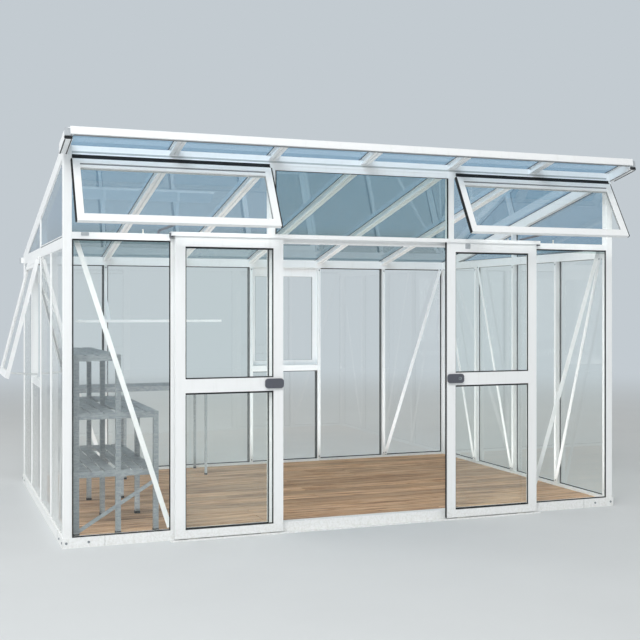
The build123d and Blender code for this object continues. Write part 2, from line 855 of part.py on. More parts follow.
# Stay bars: from a pin on the transom or sill, over the door track, to the bottom rail of each open leaf
stay_lift = track_over + stay_width / 2 + stay_clear
with BuildPart() as leaf_stays:
    for side, left, right, hinge, length, angle, seat, drop in leaves.values():
        if angle == 0:
            continue
        swing_sin = sin(radians(angle))
        swing_cos = cos(radians(angle))
        inner = leaf_thick - leaf_front
        reach = length - leaf_foot_rail / 2
        end_out = hinge_out - inner * swing_cos + reach * swing_sin
        end_height = hinge - inner * swing_sin - reach * swing_cos
        middle = (left + right) / 2
        wall_plane = upright(side)
        start = wall_plane.from_local_coords(Vector(middle - stay_swing, seat + stay_lift, -half_post))
        end = wall_plane.from_local_coords(Vector(middle, end_height, end_out))
        arm = end - start
        across = arm.cross(Vector(0, 0, 1)).normalized()
        with BuildSketch(Plane(origin=start, x_dir=arm, z_dir=across)):
            rect(0, arm.length - stay_width / 2 - seat_gap, -stay_width / 2, stay_width / 2)
        extrude(amount=stay_thick / 2, both=True)
        with BuildSketch(level(side, middle - stay_swing, seat, half_post)):
            Circle(stay_width / 2)
        extrude(amount=stay_lift)
leaf_stays.part.label = "leaf_stays"
export_step(leaf_stays.part, "parts/leaf_stays.step")

# Sliding doors: hooded track on the transom and low guide along the base
track_top = transom_top + track_over
door_top = track_top - track_wall - hood_gap
roller_height = door_top - roller_drop
ledge_top = roller_height - roller_radius - seat_gap
door_front = door_out + door_thick
hood_inner = door_front + hood_gap
hood_outer = hood_inner + track_wall
leaf_width = doorway_reach + door_overlap - door_meeting_gap / 2
door_open = doorway_reach - door_overlap
track_reach = door_meeting_gap / 2 + leaf_width + door_open + track_overrun
with BuildPart() as door_track:
    with BuildSketch(along_wall("front", -track_reach)):
        rect(0, track_wall, ledge_top - track_wall, track_top)
        rect(0, track_wall + ledge_width, ledge_top - track_wall, ledge_top)
        rect(0, hood_outer, track_top - track_wall, track_top)
        rect(hood_inner, hood_outer, track_top - track_drop, track_top)
    extrude(amount=-2 * track_reach)
door_track.part.label = "door_track"
export_step(door_track.part, "parts/door_track.step")

with BuildPart() as door_guide:
    with BuildSketch(along_wall("front", -track_reach)):
        rect(base_step, hood_outer, 0, guide_floor)
        rect(hood_inner, hood_outer, 0, guide_floor + guide_lip)
    extrude(amount=-2 * track_reach)
door_guide.part.label = "door_guide"
export_step(door_guide.part, "parts/door_guide.step")

# Both leaves stand open: the meeting edge is this far from the middle of the doorway
meeting_edge = door_meeting_gap / 2 + door_open
for side, hand in (("left", -1), ("right", 1)):
    near = hand * meeting_edge
    far = hand * (meeting_edge + leaf_width)
    left, right = min(near, far), max(near, far)
    panes = (
        (door_bottom + door_foot_rail, door_mid_bottom),
        (door_mid_bottom + door_mid_rail, door_top - door_head_rail),
    )
    with BuildPart() as door_leaf:
        with BuildSketch(upright("front", inset=-door_front)):
            rect(left, right, door_bottom, door_top)
            for bottom, top in panes:
                rect(left + door_stile, right - door_stile, bottom, top, Mode.SUBTRACT)
        extrude(amount=-door_thick)
    door_leaf.part.label = f"{side}_door"
    export_step(door_leaf.part, f"parts/{side}_door.step")

    with BuildPart() as door_glass:
        with BuildSketch(upright("front", inset=-door_front + leaf_glass_set)):
            edge = door_stile + seat_gap
            for bottom, top in panes:
                rect(left + edge, right - edge, bottom + seat_gap, top - seat_gap)
        extrude(amount=-glass_thick)
    door_glass.part.label = f"{side}_door_glass"
    export_step(door_glass.part, f"parts/{side}_door_glass.step")

    with BuildPart() as door_lock:
        with BuildSketch(upright("front", near + hand * lock_length / 2, lock_centre, -door_front)):
            RectangleRounded(lock_length, lock_height, lock_round)
        extrude(amount=lock_thick)
    door_lock.part.label = f"{side}_door_lock"
    export_step(door_lock.part, f"parts/{side}_door_lock.step")

    with BuildPart() as door_runners:
        for along in (left + roller_inset, right - roller_inset):
            with BuildSketch(upright("front", along, roller_height, -door_out)):
                Circle(roller_radius / 3)
            extrude(amount=-(door_out - track_wall - hood_gap))
            with BuildSketch(upright("front", along, roller_height, -track_wall - hood_gap)):
                Circle(roller_radius)
            extrude(amount=roller_width)
            with BuildSketch(level("front", along, guide_floor + seat_gap, -door_front)):
                rect(-glide_length / 2, glide_length / 2, door_thick / 2 - glide_width / 2,
                     door_thick / 2 + glide_width / 2)
            extrude(amount=door_bottom - guide_floor - seat_gap)
    door_runners.part.label = f"{side}_door_runners"
    export_step(door_runners.part, f"parts/{side}_door_runners.step")

with BuildPart() as door_seal:
    with BuildSketch(level("front", meeting_edge - seal_thick, door_bottom, -door_front)):
        rect(0, seal_thick, door_thick / 2 - seal_width / 2, door_thick / 2 + seal_width / 2)
    extrude(amount=door_top - door_bottom)
door_seal.part.label = "right_door_seal"
export_step(door_seal.part, "parts/right_door_seal.step")
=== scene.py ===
# %% [markdown]
# A glass greenhouse, finished in Blender
#
# The greenhouse comes in as a finished set of solids, so this lesson is about its looks. It is a white
# aluminium house with a high front, glass on every side and one roof slope that falls to the back.
# Each step says what a piece is on the real house, how it could be made, and why this way was chosen.

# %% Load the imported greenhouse
import math

import bmesh
import bpy
import numpy as np
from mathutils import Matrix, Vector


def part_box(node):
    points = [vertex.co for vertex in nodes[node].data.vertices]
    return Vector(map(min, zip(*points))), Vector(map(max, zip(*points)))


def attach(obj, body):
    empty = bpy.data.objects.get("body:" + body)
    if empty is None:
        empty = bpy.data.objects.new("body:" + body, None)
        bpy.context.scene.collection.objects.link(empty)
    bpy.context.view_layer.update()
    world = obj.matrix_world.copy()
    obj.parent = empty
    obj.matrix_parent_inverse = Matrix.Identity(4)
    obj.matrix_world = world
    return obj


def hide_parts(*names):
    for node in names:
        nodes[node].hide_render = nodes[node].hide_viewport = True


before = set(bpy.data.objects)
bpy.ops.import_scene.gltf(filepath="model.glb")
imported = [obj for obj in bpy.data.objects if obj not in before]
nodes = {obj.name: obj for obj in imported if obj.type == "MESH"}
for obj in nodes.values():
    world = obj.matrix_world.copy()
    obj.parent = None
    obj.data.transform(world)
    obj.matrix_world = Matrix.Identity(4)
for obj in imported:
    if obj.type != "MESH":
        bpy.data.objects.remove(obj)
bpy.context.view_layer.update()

# %% [markdown]
# The camera
#
# The photograph was taken from beyond the left front corner, at eye height, with the camera held level.
# A level camera keeps upright posts upright in the picture, and it looks up or down by sliding the picture
# instead of tilting. Its place was worked out from about sixty corners of the frame whose sizes are known.

# %% Place the camera
PICTURE_WIDTH = 640
FOCAL_PIXELS = 1059.97
MIDDLE_COLUMN = 322.51
HORIZON_ROW = 306.68
SENSOR = 36.0
CAMERA_PLACE = (-2.6488, -7.5005, 1.3951)
CAMERA_TURN = 0.36189

camera_data = bpy.data.cameras.new("camera")
camera_data.sensor_width = SENSOR
camera_data.lens = SENSOR * FOCAL_PIXELS / PICTURE_WIDTH
camera_data.shift_x = (PICTURE_WIDTH / 2 - MIDDLE_COLUMN) / PICTURE_WIDTH
camera_data.shift_y = (HORIZON_ROW - PICTURE_WIDTH / 2) / PICTURE_WIDTH
camera = bpy.data.objects.new("camera", camera_data)
camera.location = CAMERA_PLACE
camera.rotation_euler = (math.pi / 2, 0, -CAMERA_TURN)
bpy.context.scene.collection.objects.link(camera)
bpy.context.scene.camera = camera
print("lens", round(camera_data.lens, 2), "mm")

# %% [markdown]
# Colours and nodes
#
# Colours are written as the hex values that a paint chart or a picture gives. Blender mixes light in linear
# values, so one function turns a hex colour into those. One more adds a node with its settings and its links.
# Noise, a range moved to another, a mix of two colours, a sum and the height above the ground come back in
# most finishes, so each of those has a short function of its own.

# %% Colour and node helpers
def colour(hex_value):
    """Linear colour of an sRGB hex value: each channel c goes to ((c + 0.055) / 1.055) to the power 2.4."""
    channels = [int(hex_value[i : i + 2], 16) / 255 for i in (1, 3, 5)]
    return (*[c / 12.92 if c <= 0.04045 else ((c + 0.055) / 1.055) ** 2.4 for c in channels], 1.0)


def add(material, kind, settings=None, **inputs):
    """Adds one node and gives it back. Inputs given as output sockets are linked, other values are set."""
    tree = material.node_tree
    node = tree.nodes.new(kind)
    for key, value in (settings or {}).items():
        setattr(node, key, value)
    for key, value in inputs.items():
        name = int(key[1:]) if key[0] == "i" and key[1:].isdigit() else key.replace("_", " ")
        socket = node.inputs[name]
        if isinstance(value, bpy.types.NodeSocket):
            tree.links.new(value, socket)
        else:
            socket.default_value = value
    return node


def new_material(name):
    """An empty material with its output node and its object coordinates."""
    material = bpy.data.materials.new(name)
    material.use_nodes = True
    material.node_tree.nodes.clear()
    material.node_tree.nodes.new("ShaderNodeOutputMaterial")
    place = add(material, "ShaderNodeTexCoord").outputs["Object"]
    return material, place


def finish_with(material, shader):
    """Links a shader node to the material's output."""
    output = next(n for n in material.node_tree.nodes if n.type == "OUTPUT_MATERIAL")
    material.node_tree.links.new(shader.outputs[0], output.inputs["Surface"])
    return material


MM = 0.001


def noise(material, place, size_mm, detail, roughness=0.5, distortion=0.0):
    """Noise from 0 to 1 whose patches are about this many millimetres across."""
    return add(
        material, "ShaderNodeTexNoise",
        Vector=place, Scale=1 / (size_mm * MM), Detail=detail, Roughness=roughness, Distortion=distortion,
    ).outputs["Fac"]


def mapped(material, value, low, high, to_low=0.0, to_high=1.0, **settings):
    """A value moved from one range to another, and held at its ends."""
    return add(
        material, "ShaderNodeMapRange", settings,
        Value=value, From_Min=low, From_Max=high, To_Min=to_low, To_Max=to_high,
    ).outputs[0]


def mixed(material, factor, first, second):
    """The first colour where the factor is 0, the second where it is 1."""
    mix = add(material, "ShaderNodeMix", {"data_type": "RGBA"}, Factor=factor, i6=first, i7=second)
    return mix.outputs[2]


def maths(material, operation, first, second):
    """One sum on two values, such as their product or the larger of them."""
    return add(material, "ShaderNodeMath", {"operation": operation}, i0=first, i1=second).outputs[0]


def height_of(material, place):
    """How far a point lies above the ground."""
    return add(material, "ShaderNodeSeparateXYZ", Vector=place).outputs["Z"]


WHITE = "#f4f6f7"
print("white", [round(c, 3) for c in colour(WHITE)[:3]])

# %% [markdown]
# Powder coated aluminium
#
# Every bar, post, rail and door frame is an aluminium extrusion, sprayed with dry white paint powder and
# baked. Up close the paint has a very fine orange peel. Outdoors, rain draws faint grey runs down the
# uprights, and soil splashes up on the lowest hand's width. A plain white shader would look like plastic
# straight from the mould, so the white is mixed with a little of both. The peel is about 1 mm on the real
# paint and is drawn at 5 mm, so that it shows as a soft break in the gloss.

# %% Powder coat
def powder_coat():
    """White paint, with faint rain runs down the uprights and soil splashes on the lowest 160 mm."""
    material, place = new_material("powder_coated_aluminium")
    stretched = add(material, "ShaderNodeMapping", Vector=place, Scale=(1.0, 1.0, 0.12)).outputs[0]
    runs = mapped(material, noise(material, stretched, 28, 5.0, 0.62), 0.52, 0.82, 0.0, 0.16)
    splash = mapped(material, height_of(material, place), 0.0, 0.16, 0.55, 0.0)
    speckle = mapped(material, noise(material, place, 14, 8.0, 0.75), 0.42, 0.70)
    dirt = maths(material, "MAXIMUM", runs, maths(material, "MULTIPLY", splash, speckle))
    paint = mixed(material, dirt, colour(WHITE), colour("#c3c3b8"))
    gloss = mapped(material, dirt, 0.0, 0.6, 0.34, 0.62)
    peel = noise(material, place, 5, 2.0)
    skin = add(material, "ShaderNodeBump", Height=peel, Strength=0.12, Distance=0.4 * MM).outputs[0]
    shader = add(
        material, "ShaderNodeBsdfPrincipled", Base_Color=paint, Roughness=gloss, Normal=skin, IOR=1.5
    )
    return finish_with(material, shader)


coat = powder_coat()
print("material", coat.name)

# %% [markdown]
# Float glass
#
# The panes are 4 mm float glass, so flat and clear that the eye reads them by their reflections and by a
# faint green cast. Real glass bends the light at both faces, and the panes here have both faces, so a
# glass shader with an index of 1.5 does the same. Lamps would have to find their way through each pane by
# chance, so shadow rays go straight through with the same faint cast. The roof panes get a deeper blue
# grey, and so do the high panes of the two gables, which start above the eave; the high pane over the
# doorway gets a fainter one. The tint is partly a film of dust and rain marks and partly painted sky: it
# gives the pale backdrop seen through the panes the colour of a blue sky. Towards the gutter the roof's
# tint is darker and greener.

# %% Glass
RAIL_MIDDLE = 1.765
TINT_START, TINT_BLEND = 1.92, 0.12


def pane_glass(name, tint, lamp_tint, high_tint=None, high_from=RAIL_MIDDLE, blend=MM):
    """Clear glass in a tint. From a height on, blended over a distance, the high tint takes over."""
    material, place = new_material(name)
    base = colour(tint)
    if high_tint:
        height = height_of(material, place)
        is_high = mapped(material, height, high_from, high_from + blend, interpolation_type="SMOOTHSTEP")
        base = mixed(material, is_high, base, colour(high_tint))
    glass = add(
        material, "ShaderNodeBsdfPrincipled",
        Base_Color=base, Roughness=0.0, IOR=1.5, Transmission_Weight=1.0,
    )
    lamp_rays = add(material, "ShaderNodeBsdfTransparent", Color=colour(lamp_tint))
    is_shadow = add(material, "ShaderNodeLightPath").outputs["Is Shadow Ray"]
    mix = add(material, "ShaderNodeMixShader", i0=is_shadow, i1=glass.outputs[0], i2=lamp_rays.outputs[0])
    return finish_with(material, mix)


clear_glass = pane_glass("float_glass", "#fdfffe", "#fefffe")
# The roof tint and the high tints are partly dust and partly painted sky colour, seen through the glass.
roof_pane_glass = pane_glass(
    "roof_glass_dust_and_sky_tint", "#96b0b9", "#e8eef2", "#b0d0e6", high_from=TINT_START, blend=TINT_BLEND
)
side_pane_glass = pane_glass("side_float_glass", "#fdfffe", "#fefffe", high_tint="#b2cbdc")
front_pane_glass = pane_glass("front_float_glass", "#fdfffe", "#fefffe", high_tint="#d4e0df")
print("materials", clear_glass.name, roof_pane_glass.name, side_pane_glass.name, front_pane_glass.name)

# %% [markdown]
# Weathered softwood
#
# The floor is laid with sawn softwood boards that have stood in sun and water: the soft early wood has worn
# away between the harder rings, and the brown has bleached towards grey. Grain runs along the board, so the
# noise is stretched along X. Each board came from another tree, so a value stored on the mesh, one per
# board, shifts the pattern and the tone. The rings are about 6 mm apart on the real boards and are drawn
# 14 mm apart, so that their streaks show from where the camera stands.

# %% Wood
def softwood(name, dark, middle, pale, grey):
    """Three tones of ring, laid along X, greyed in patches and shifted by each board's own value."""
    material, place = new_material(name)
    board = add(material, "ShaderNodeAttribute", {"attribute_name": "board"}).outputs["Fac"]
    shift = maths(material, "MULTIPLY", board, 37.0)
    offset = add(material, "ShaderNodeCombineXYZ", X=shift, Y=shift, Z=shift).outputs[0]
    moved = add(material, "ShaderNodeVectorMath", {"operation": "ADD"}, i0=place, i1=offset).outputs[0]
    along = add(material, "ShaderNodeMapping", Vector=moved, Scale=(0.06, 1.0, 1.0)).outputs[0]
    rings = noise(material, along, 28, 9.0, 0.7, 0.6)
    tones = add(material, "ShaderNodeValToRGB", Fac=rings)
    ramp = tones.color_ramp
    ramp.elements[0].position, ramp.elements[0].color = 0.36, colour(dark)
    ramp.elements[1].position, ramp.elements[1].color = 0.62, colour(pale)
    ramp.elements.new(0.48).color = colour(middle)
    bleached = mapped(material, noise(material, moved, 260, 6.0, 0.7), 0.40, 0.66, 0.0, 0.65)
    greyed = mixed(material, bleached, tones.outputs[0], colour(grey))
    tone = mapped(material, board, 0.0, 1.0, 0.72, 1.08)
    timber = add(
        material, "ShaderNodeHueSaturation", Hue=0.5, Saturation=1.0, Value=tone, Fac=1.0, Color=greyed
    ).outputs[0]
    relief = add(material, "ShaderNodeBump", Height=rings, Strength=0.55, Distance=1.5 * MM).outputs[0]
    shader = add(material, "ShaderNodeBsdfPrincipled", Base_Color=timber, Roughness=0.82, Normal=relief)
    return finish_with(material, shader)


deck_wood = softwood("weathered_softwood", "#6b4c38", "#c99e79", "#f0cda8", "#cfaf91")
bearer_wood = softwood("pressure_treated_softwood", "#4a4632", "#77704f", "#948c67", "#7c7a6b")
print("materials", deck_wood.name, bearer_wood.name)

# %% [markdown]
# The small finishes
#
# The lock cases are zinc castings with dark grey paint, faintly pebbled. The gaskets are black rubber with
# a chalky bloom. Rollers and caps are moulded nylon, the bolts are zinc plated steel with a brighter and
# a duller spangle, and the staging inside is bare aluminium that has dulled outdoors. One recipe serves
# all of them: two tones mixed by noise, a roughness that follows the same noise, and a fine relief. What
# differs is how coarse the noise is, how far the tones are apart and whether the body is metal. The stays
# of the high vents are dark and those of the low windows are white, so that one finish changes at a height.

# %% Mottled finishes
EVEN = (1.0, 1.0, 1.0)
LONG_GRAIN = (0.25, 0.25, 1.0)
STAYS_CHANGE = 1.7


def mottled(name, tone, other, grain_mm, rough, rougher, relief_mm, metal=0.0, stretch=EVEN, low=None):
    """Two tones mixed by noise. Below a height, where one is given, a third tone stands instead."""
    material, place = new_material(name)
    laid = add(material, "ShaderNodeMapping", Vector=place, Scale=stretch).outputs[0]
    grain = noise(material, laid, grain_mm, 6.0, 0.65)
    tint = mixed(material, mapped(material, grain, 0.35, 0.65), colour(tone), colour(other))
    if low:
        is_low = maths(material, "LESS_THAN", height_of(material, place), low[0])
        tint = mixed(material, is_low, tint, colour(low[1]))
    sheen = mapped(material, grain, 0.3, 0.7, rough, rougher)
    relief = add(material, "ShaderNodeBump", Height=grain, Strength=0.35, Distance=relief_mm * MM).outputs[0]
    shader = add(
        material, "ShaderNodeBsdfPrincipled",
        Base_Color=tint, Roughness=sheen, Normal=relief, Metallic=metal,
    )
    return finish_with(material, shader)


lock_paint = mottled("painted_zinc_casting", "#4f5159", "#5f626b", 3, 0.38, 0.52, 0.25)
rubber = mottled("black_rubber", "#151617", "#26282a", 6, 0.58, 0.75, 0.2)
nylon = mottled("moulded_nylon", "#dcdcd6", "#cfcfc8", 8, 0.42, 0.55, 0.15)
grey_rubber = mottled("grey_rubber", "#8d9092", "#7d8083", 6, 0.55, 0.7, 0.2)
pale_rubber = mottled("pale_grey_rubber", "#bcc1c2", "#adb2b4", 6, 0.55, 0.7, 0.2)
grey_cap = mottled("grey_moulded_cap", "#b9bec2", "#aab0b5", 10, 0.45, 0.6, 0.15)
zinc_plate = mottled("zinc_plated_steel", "#b4b9bd", "#8f959a", 4, 0.28, 0.5, 0.1, metal=1.0)
stay_paint = mottled(
    "painted_steel_stays", "#5c5f66", "#6c7077", 5, 0.4, 0.55, 0.2, low=(STAYS_CHANGE, "#dde0e1")
)
bare_aluminium = mottled(
    "dulled_bare_aluminium", "#a6adb0", "#8b9298", 9, 0.42, 0.6, 0.12, metal=0.35, stretch=LONG_GRAIN
)
print("materials so far", len(bpy.data.materials))

# %% Dress the solids
FINISHES = (
    ("roof_glass", roof_pane_glass),
    ("left_glass", side_pane_glass),
    ("right_glass", side_pane_glass),
    ("front_glass", front_pane_glass),
    ("glass", clear_glass),
    ("floor_bearers", bearer_wood),
    ("floor", deck_wood),
    ("staging", bare_aluminium),
    ("lock", lock_paint),
    ("stays", stay_paint),
    ("runners", nylon),
    ("seal", rubber),
)


def finish_of(name):
    """The finish whose word comes first in the list and is part of the node's name, or else the coat."""
    return next((finish for word, finish in FINISHES if word in name), coat)


for name, thing in nodes.items():
    thing.data.materials.clear()
    thing.data.materials.append(finish_of(name))
print("dressed", len(nodes), "nodes")

# %% [markdown]
# Surfaces from numbers
#
# The added pieces are strips, frames and turned parts. Each can be worked out as a whole array of points:
# a profile carried along a path gives a strip, a profile carried round a pane gives a gasket, and a turned
# profile gives a bolt. That keeps every corner exactly where the numbers say, and a repeated part is one
# small array placed many times by matrices. All of them are grids of points, so one function numbers the
# faces of any grid, and another fills its two ends.

# %% Faces of a grid of points
def grid_faces(rows, columns, closed=False):
    """Point (i, j) joins its neighbours i + 1 and j + 1. Columns close on themselves, rows where asked."""
    steps = rows if closed else rows - 1
    i, j = (a.ravel() for a in np.meshgrid(np.arange(steps), np.arange(columns), indexing="ij"))
    i2, j2 = (i + 1) % rows, (j + 1) % columns
    return np.stack([i * columns + j, i * columns + j2, i2 * columns + j2, i2 * columns + j], 1).tolist()


def solid_faces(rows, columns):
    """The faces of a grid, with the first row filled by one face turned round and the last row by another."""
    last = (rows - 1) * columns
    ends = [tuple(range(columns - 1, -1, -1)), tuple(range(last, last + columns))]
    return grid_faces(rows, columns) + ends


print("square bar", len(solid_faces(2, 4)), "faces")

# %% Put shapes into the scene
def surface(name, shapes, finish, body="house", smooth=False):
    """Joins shapes, each its points and faces, into one piece with its faces outwards, and lets it ride."""
    points, faces, first = [], [], 0
    for shape_points, shape_faces in shapes:
        points.append(shape_points)
        faces += [tuple(i + first for i in face) for face in shape_faces]
        first += len(shape_points)
    mesh = bpy.data.meshes.new(name)
    mesh.from_pydata(np.concatenate(points).tolist(), [], faces)
    shell = bmesh.new()
    shell.from_mesh(mesh)
    bmesh.ops.recalc_face_normals(shell, faces=shell.faces)
    shell.to_mesh(mesh)
    shell.free()
    mesh.materials.append(finish)
    mesh.polygons.foreach_set("use_smooth", np.full(len(mesh.polygons), smooth))
    piece = bpy.data.objects.new(name, mesh)
    bpy.context.scene.collection.objects.link(piece)
    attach(piece, body)
    print(name, len(mesh.polygons), "faces")
    return piece


# %% A profile carried along a path
def strip(profile, path, side, up):
    """Point (i, j) is path point i plus profile j's first number times side and its second times up."""
    profile, path = np.asarray(profile, float), np.asarray(path, float)
    side = np.broadcast_to(np.asarray(side, float), path.shape)
    up = np.broadcast_to(np.asarray(up, float), path.shape)
    points = path[:, None] + profile[None, :, :1] * side[:, None] + profile[None, :, 1:] * up[:, None]
    return points.reshape(-1, 3), solid_faces(len(path), len(profile))


def block(width, height, corner=0.0):
    """Outline of a rectangle round the middle, its corners cut off by the same small amount both ways."""
    w, h, c = width / 2, height / 2, corner
    if not corner:
        return [(-w, -h), (w, -h), (w, h), (-w, h)]
    right = [(w - c, -h), (w, -h + c), (w, h - c), (w - c, h)]
    left = [(-w + c, h), (-w, h - c), (-w, -h + c)]
    return [(-w + c, -h), *right, *left]


print("outline with cut corners", len(block(2.0, 1.0, 0.1)), "points")

# %% A profile carried round a pane
def moved_in(corners, normal, amounts):
    """Corners of a polygon with its edges moved in: each new corner is at both amounts from its edges."""
    along = np.roll(corners, -1, 0) - corners
    along /= np.linalg.norm(along, axis=1, keepdims=True)
    inward = np.cross(normal, along)
    before, amount_before = np.roll(inward, 1, 0), np.roll(amounts, 1)
    cosine = np.sum(before * inward, 1)
    scale = 1 - cosine**2
    first = (amount_before - amounts * cosine) / scale
    second = (amounts - amount_before * cosine) / scale
    return corners + first[:, None] * before + second[:, None] * inward


def ring(corners, normal, profile, starts, widths=1.0):
    """Profile point (a, b) runs round the polygon, a times an edge's width in from its start and b out."""
    levels = [moved_in(corners, normal, starts + a * widths) + b * normal for a, b in profile]
    points = np.stack(levels, 1)
    return points.reshape(-1, 3), grid_faces(*points.shape[:2], closed=True)


print("wedge round four edges", len(grid_faces(4, 3, closed=True)), "faces")

# %% [markdown]
# Where the panes are
#
# A gasket has to follow every pane exactly, and there are over thirty of them, upright, sloping and cut to
# the gable. Writing all their corners down again would be long and easy to get wrong. The panes are
# already there as solids, so their corners are read from them: the loose triangles of one pane share
# corners, those corners form a group, and the four on the outer side are put in order around the middle.

# %% Corners of every pane in a node
LABEL_ROUNDS = 12


def pane_corners(name, outward):
    """Outer corners and normal of each pane. Corners that share triangles get the same, lowest label."""
    mesh = nodes[name].data
    points = np.empty(len(mesh.vertices) * 3)
    mesh.vertices.foreach_get("co", points)
    spots, index = np.unique(np.round(points.reshape(-1, 3), 5), axis=0, return_inverse=True)
    mesh.calc_loop_triangles()
    triangles = np.empty(len(mesh.loop_triangles) * 3, int)
    mesh.loop_triangles.foreach_get("vertices", triangles)
    triangles = index.ravel()[triangles].reshape(-1, 3)
    labels = np.arange(len(spots))
    for _ in range(LABEL_ROUNDS):
        lowest = labels[triangles].min(1)
        for column in range(3):
            np.minimum.at(labels, triangles[:, column], lowest)
    found = []
    for label in np.unique(labels):
        pane = spots[labels == label]
        middle = pane.mean(0)
        normal = np.linalg.svd(pane - middle)[2][2]
        normal *= np.sign(normal @ np.asarray(outward))
        outer = pane[(pane - middle) @ normal > 0]
        right = outer[0] - outer.mean(0)
        right /= np.linalg.norm(right)
        up = np.cross(normal, right)
        turn = np.arctan2((outer - outer.mean(0)) @ up, (outer - outer.mean(0)) @ right)
        found.append((outer[np.argsort(turn)], normal))
    return found


print("front panes", len(pane_corners("front_glass", (0, -1, 0))))

# %% [markdown]
# Glazing gaskets
#
# Each pane is held by a black rubber gasket that is pressed in beside it, inside and out. From a few metres
# off it is the thin dark line that draws every white bar. It is a small wedge, 7 mm wide, carried round the
# pane. Beside a glazing bar the bar's cap already covers the edge of the glass, so there the gasket starts
# further in, and beside a post or a rail it starts at the edge. Along the top edge of the low front panes and
# of the door panes the black wedge is drawn wider than the gasket: the extra width is painted shadow under
# the transom and under the door rails. The roof panes lie on white flanges of the bars instead, which show
# from below with a thin black edge. The two gable walls have black rubber inside and white wedges outside.
# The hung windows have grey strips behind the glass, along their upright edges, and pale ones along the
# others.

# %% Gaskets round the panes
PITCH, HALF_W, HALF_D, POST = 0.620, 1.860, 1.240, 0.050
FACE_X, FACE_Y = HALF_W + POST / 2, HALF_D + POST / 2
CAP_HALF, BESIDE_BAR, GLASS = 18 * MM, 14 * MM, 4 * MM
GABLE_FROM, GABLE_TOP = 2.0, 0.5
WEDGE = np.array([(0, 0), (7, 0), (5.5, 2.2), (0, 3.6)]) * MM


def edge_starts(corners, bars, axis):
    """How far in the gasket starts on each edge: from the cap beside a bar, at the frame elsewhere."""
    following = np.roll(corners, -1, 0)
    middle = (corners + following) / 2
    starts = np.zeros(len(corners))
    for bar in bars:
        beside = np.abs(middle[:, axis] - bar) < BESIDE_BAR
        starts[beside] = CAP_HALF - np.abs(middle[beside, axis] - bar)
    return starts


def edge_widths(corners, top):
    """A factor for each edge: the given one where its middle is highest, and 1 for the rest."""
    height = (corners + np.roll(corners, -1, 0))[:, 2]
    return np.where(height > height.max() - 2 * MM, top, 1.0)


def gaskets(name, node, outward, bars=(), axis=0, body="house", inner=1.0, top=1.0, wedges=None):
    """Rings on the outer face of every pane, and on the inner face, 4 mm deeper, close to the bars' webs."""
    outside, inside = [], []
    for corners, normal in pane_corners(node, outward):
        widths = edge_widths(corners, GABLE_TOP if corners[:, 2].max() > GABLE_FROM else top)
        outside.append(ring(corners, normal, WEDGE, edge_starts(corners, bars, axis), widths))
        behind = [(a * inner, -GLASS - b * inner) for a, b in WEDGE]
        inside.append(ring(corners, normal, behind, np.zeros(len(corners)), widths))
    if wedges:
        surface(wedges, outside, coat, body)
        outside = []
    return surface(name, outside + inside, rubber, body)


across = np.arange(-2, 3) * PITCH
# The low front panes' top edges are 1.3 times as wide: the extra black is painted shadow under the transom.
gaskets("front_gaskets_and_shadow", "front_glass", (0, -1, 0), (-2 * PITCH, 2 * PITCH), top=1.3)
gaskets("back_gaskets", "back_glass", (0, 1, 0), across)

# %% Seats of the roof panes
ROOF_OUT = (0, 0.2, 1)
END_WIDTH = 0.3
SEAT = [(0.0, -GLASS), (13.5 * MM, -GLASS), (12.5 * MM, -6.6 * MM), (0.0, -7 * MM)]
EDGE = [(13.5 * MM, -GLASS), (17 * MM, -GLASS), (16.4 * MM, -6 * MM), (13.5 * MM, -6.4 * MM)]
seats, edges = [], []
for corners, normal in pane_corners("roof_glass", ROOF_OUT):
    following = np.roll(corners, -1, 0)
    widths = np.where(np.abs(following - corners)[:, 1] > 0.5, 1.0, END_WIDTH)
    starts = np.zeros(len(corners))
    seats.append(ring(corners, normal, SEAT, starts, widths))
    edges.append(ring(corners, normal, EDGE, starts, widths))
surface("roof_seats", seats, coat)
surface("roof_gaskets", edges, rubber)

# %% Gaskets of the sides and doors
side_bars = (-PITCH, 0.0, PITCH)
gaskets("left_gaskets", "left_glass", (-1, 0, 0), side_bars, axis=1, top=0.4, wedges="left_wedges")
gaskets("right_gaskets", "right_glass", (1, 0, 0), side_bars, axis=1, top=0.4, wedges="right_wedges")
# The door panes' top edges are 1.5 times as wide: the extra black is painted shadow under the rails.
gaskets("left_door_gaskets_and_shadow", "left_door_glass", (0, -1, 0), body="left_leaf", inner=0.35, top=1.5)
gaskets("right_door_gaskets_and_shadow", "right_door_glass", (0, -1, 0), body="right_leaf", inner=0.35, top=1.5)

# %% Gaskets of the hung windows
BEDDING = 3 * MM
DEEP = np.array([(0.0, 0.0), (BEDDING, 0.0), (BEDDING, -8 * MM), (0.0, -8 * MM)])
pale, dark = [], []
for corners, normal in pane_corners("leaf_glass", (0, -1, 0.2)):
    centre = corners.mean(0)
    in_back, in_left = centre[1] > HALF_D - POST, centre[0] < -HALF_W
    outward = (0, 1, 0) if in_back else (-1, 0, 0) if in_left else normal
    turned_round = normal @ np.array(outward) < 0
    face = -normal if turned_round else normal
    ordered = corners[::-1] if turned_round else corners
    back = ordered - (0.0 if turned_round else GLASS) * face
    following = np.roll(back, -1, 0)
    for start, end in zip(back, following):
        along = (end - start) / np.linalg.norm(end - start)
        upright = abs(along[2]) > 0.5
        trim = BEDDING * along * (0 if upright else 1)
        shape = strip(DEEP, [start + trim, end - trim], np.cross(face, along), face)
        (dark if upright else pale).append(shape)
surface("window_gaskets", dark, grey_rubber)
surface("window_bedding", pale, pale_rubber)

# %% [markdown]
# Floor boards
#
# The solid model has one slab for the floor. The real floor is laid with boards along the front, about
# 136 mm wide with 8 mm between them, each row made of two boards that meet over a bearer. A board is a
# rectangle with its long edges eased, carried along X. Every board is a little higher or lower than its
# neighbour and stores its own value for the wood, so no two look alike. The boards replace the slab.

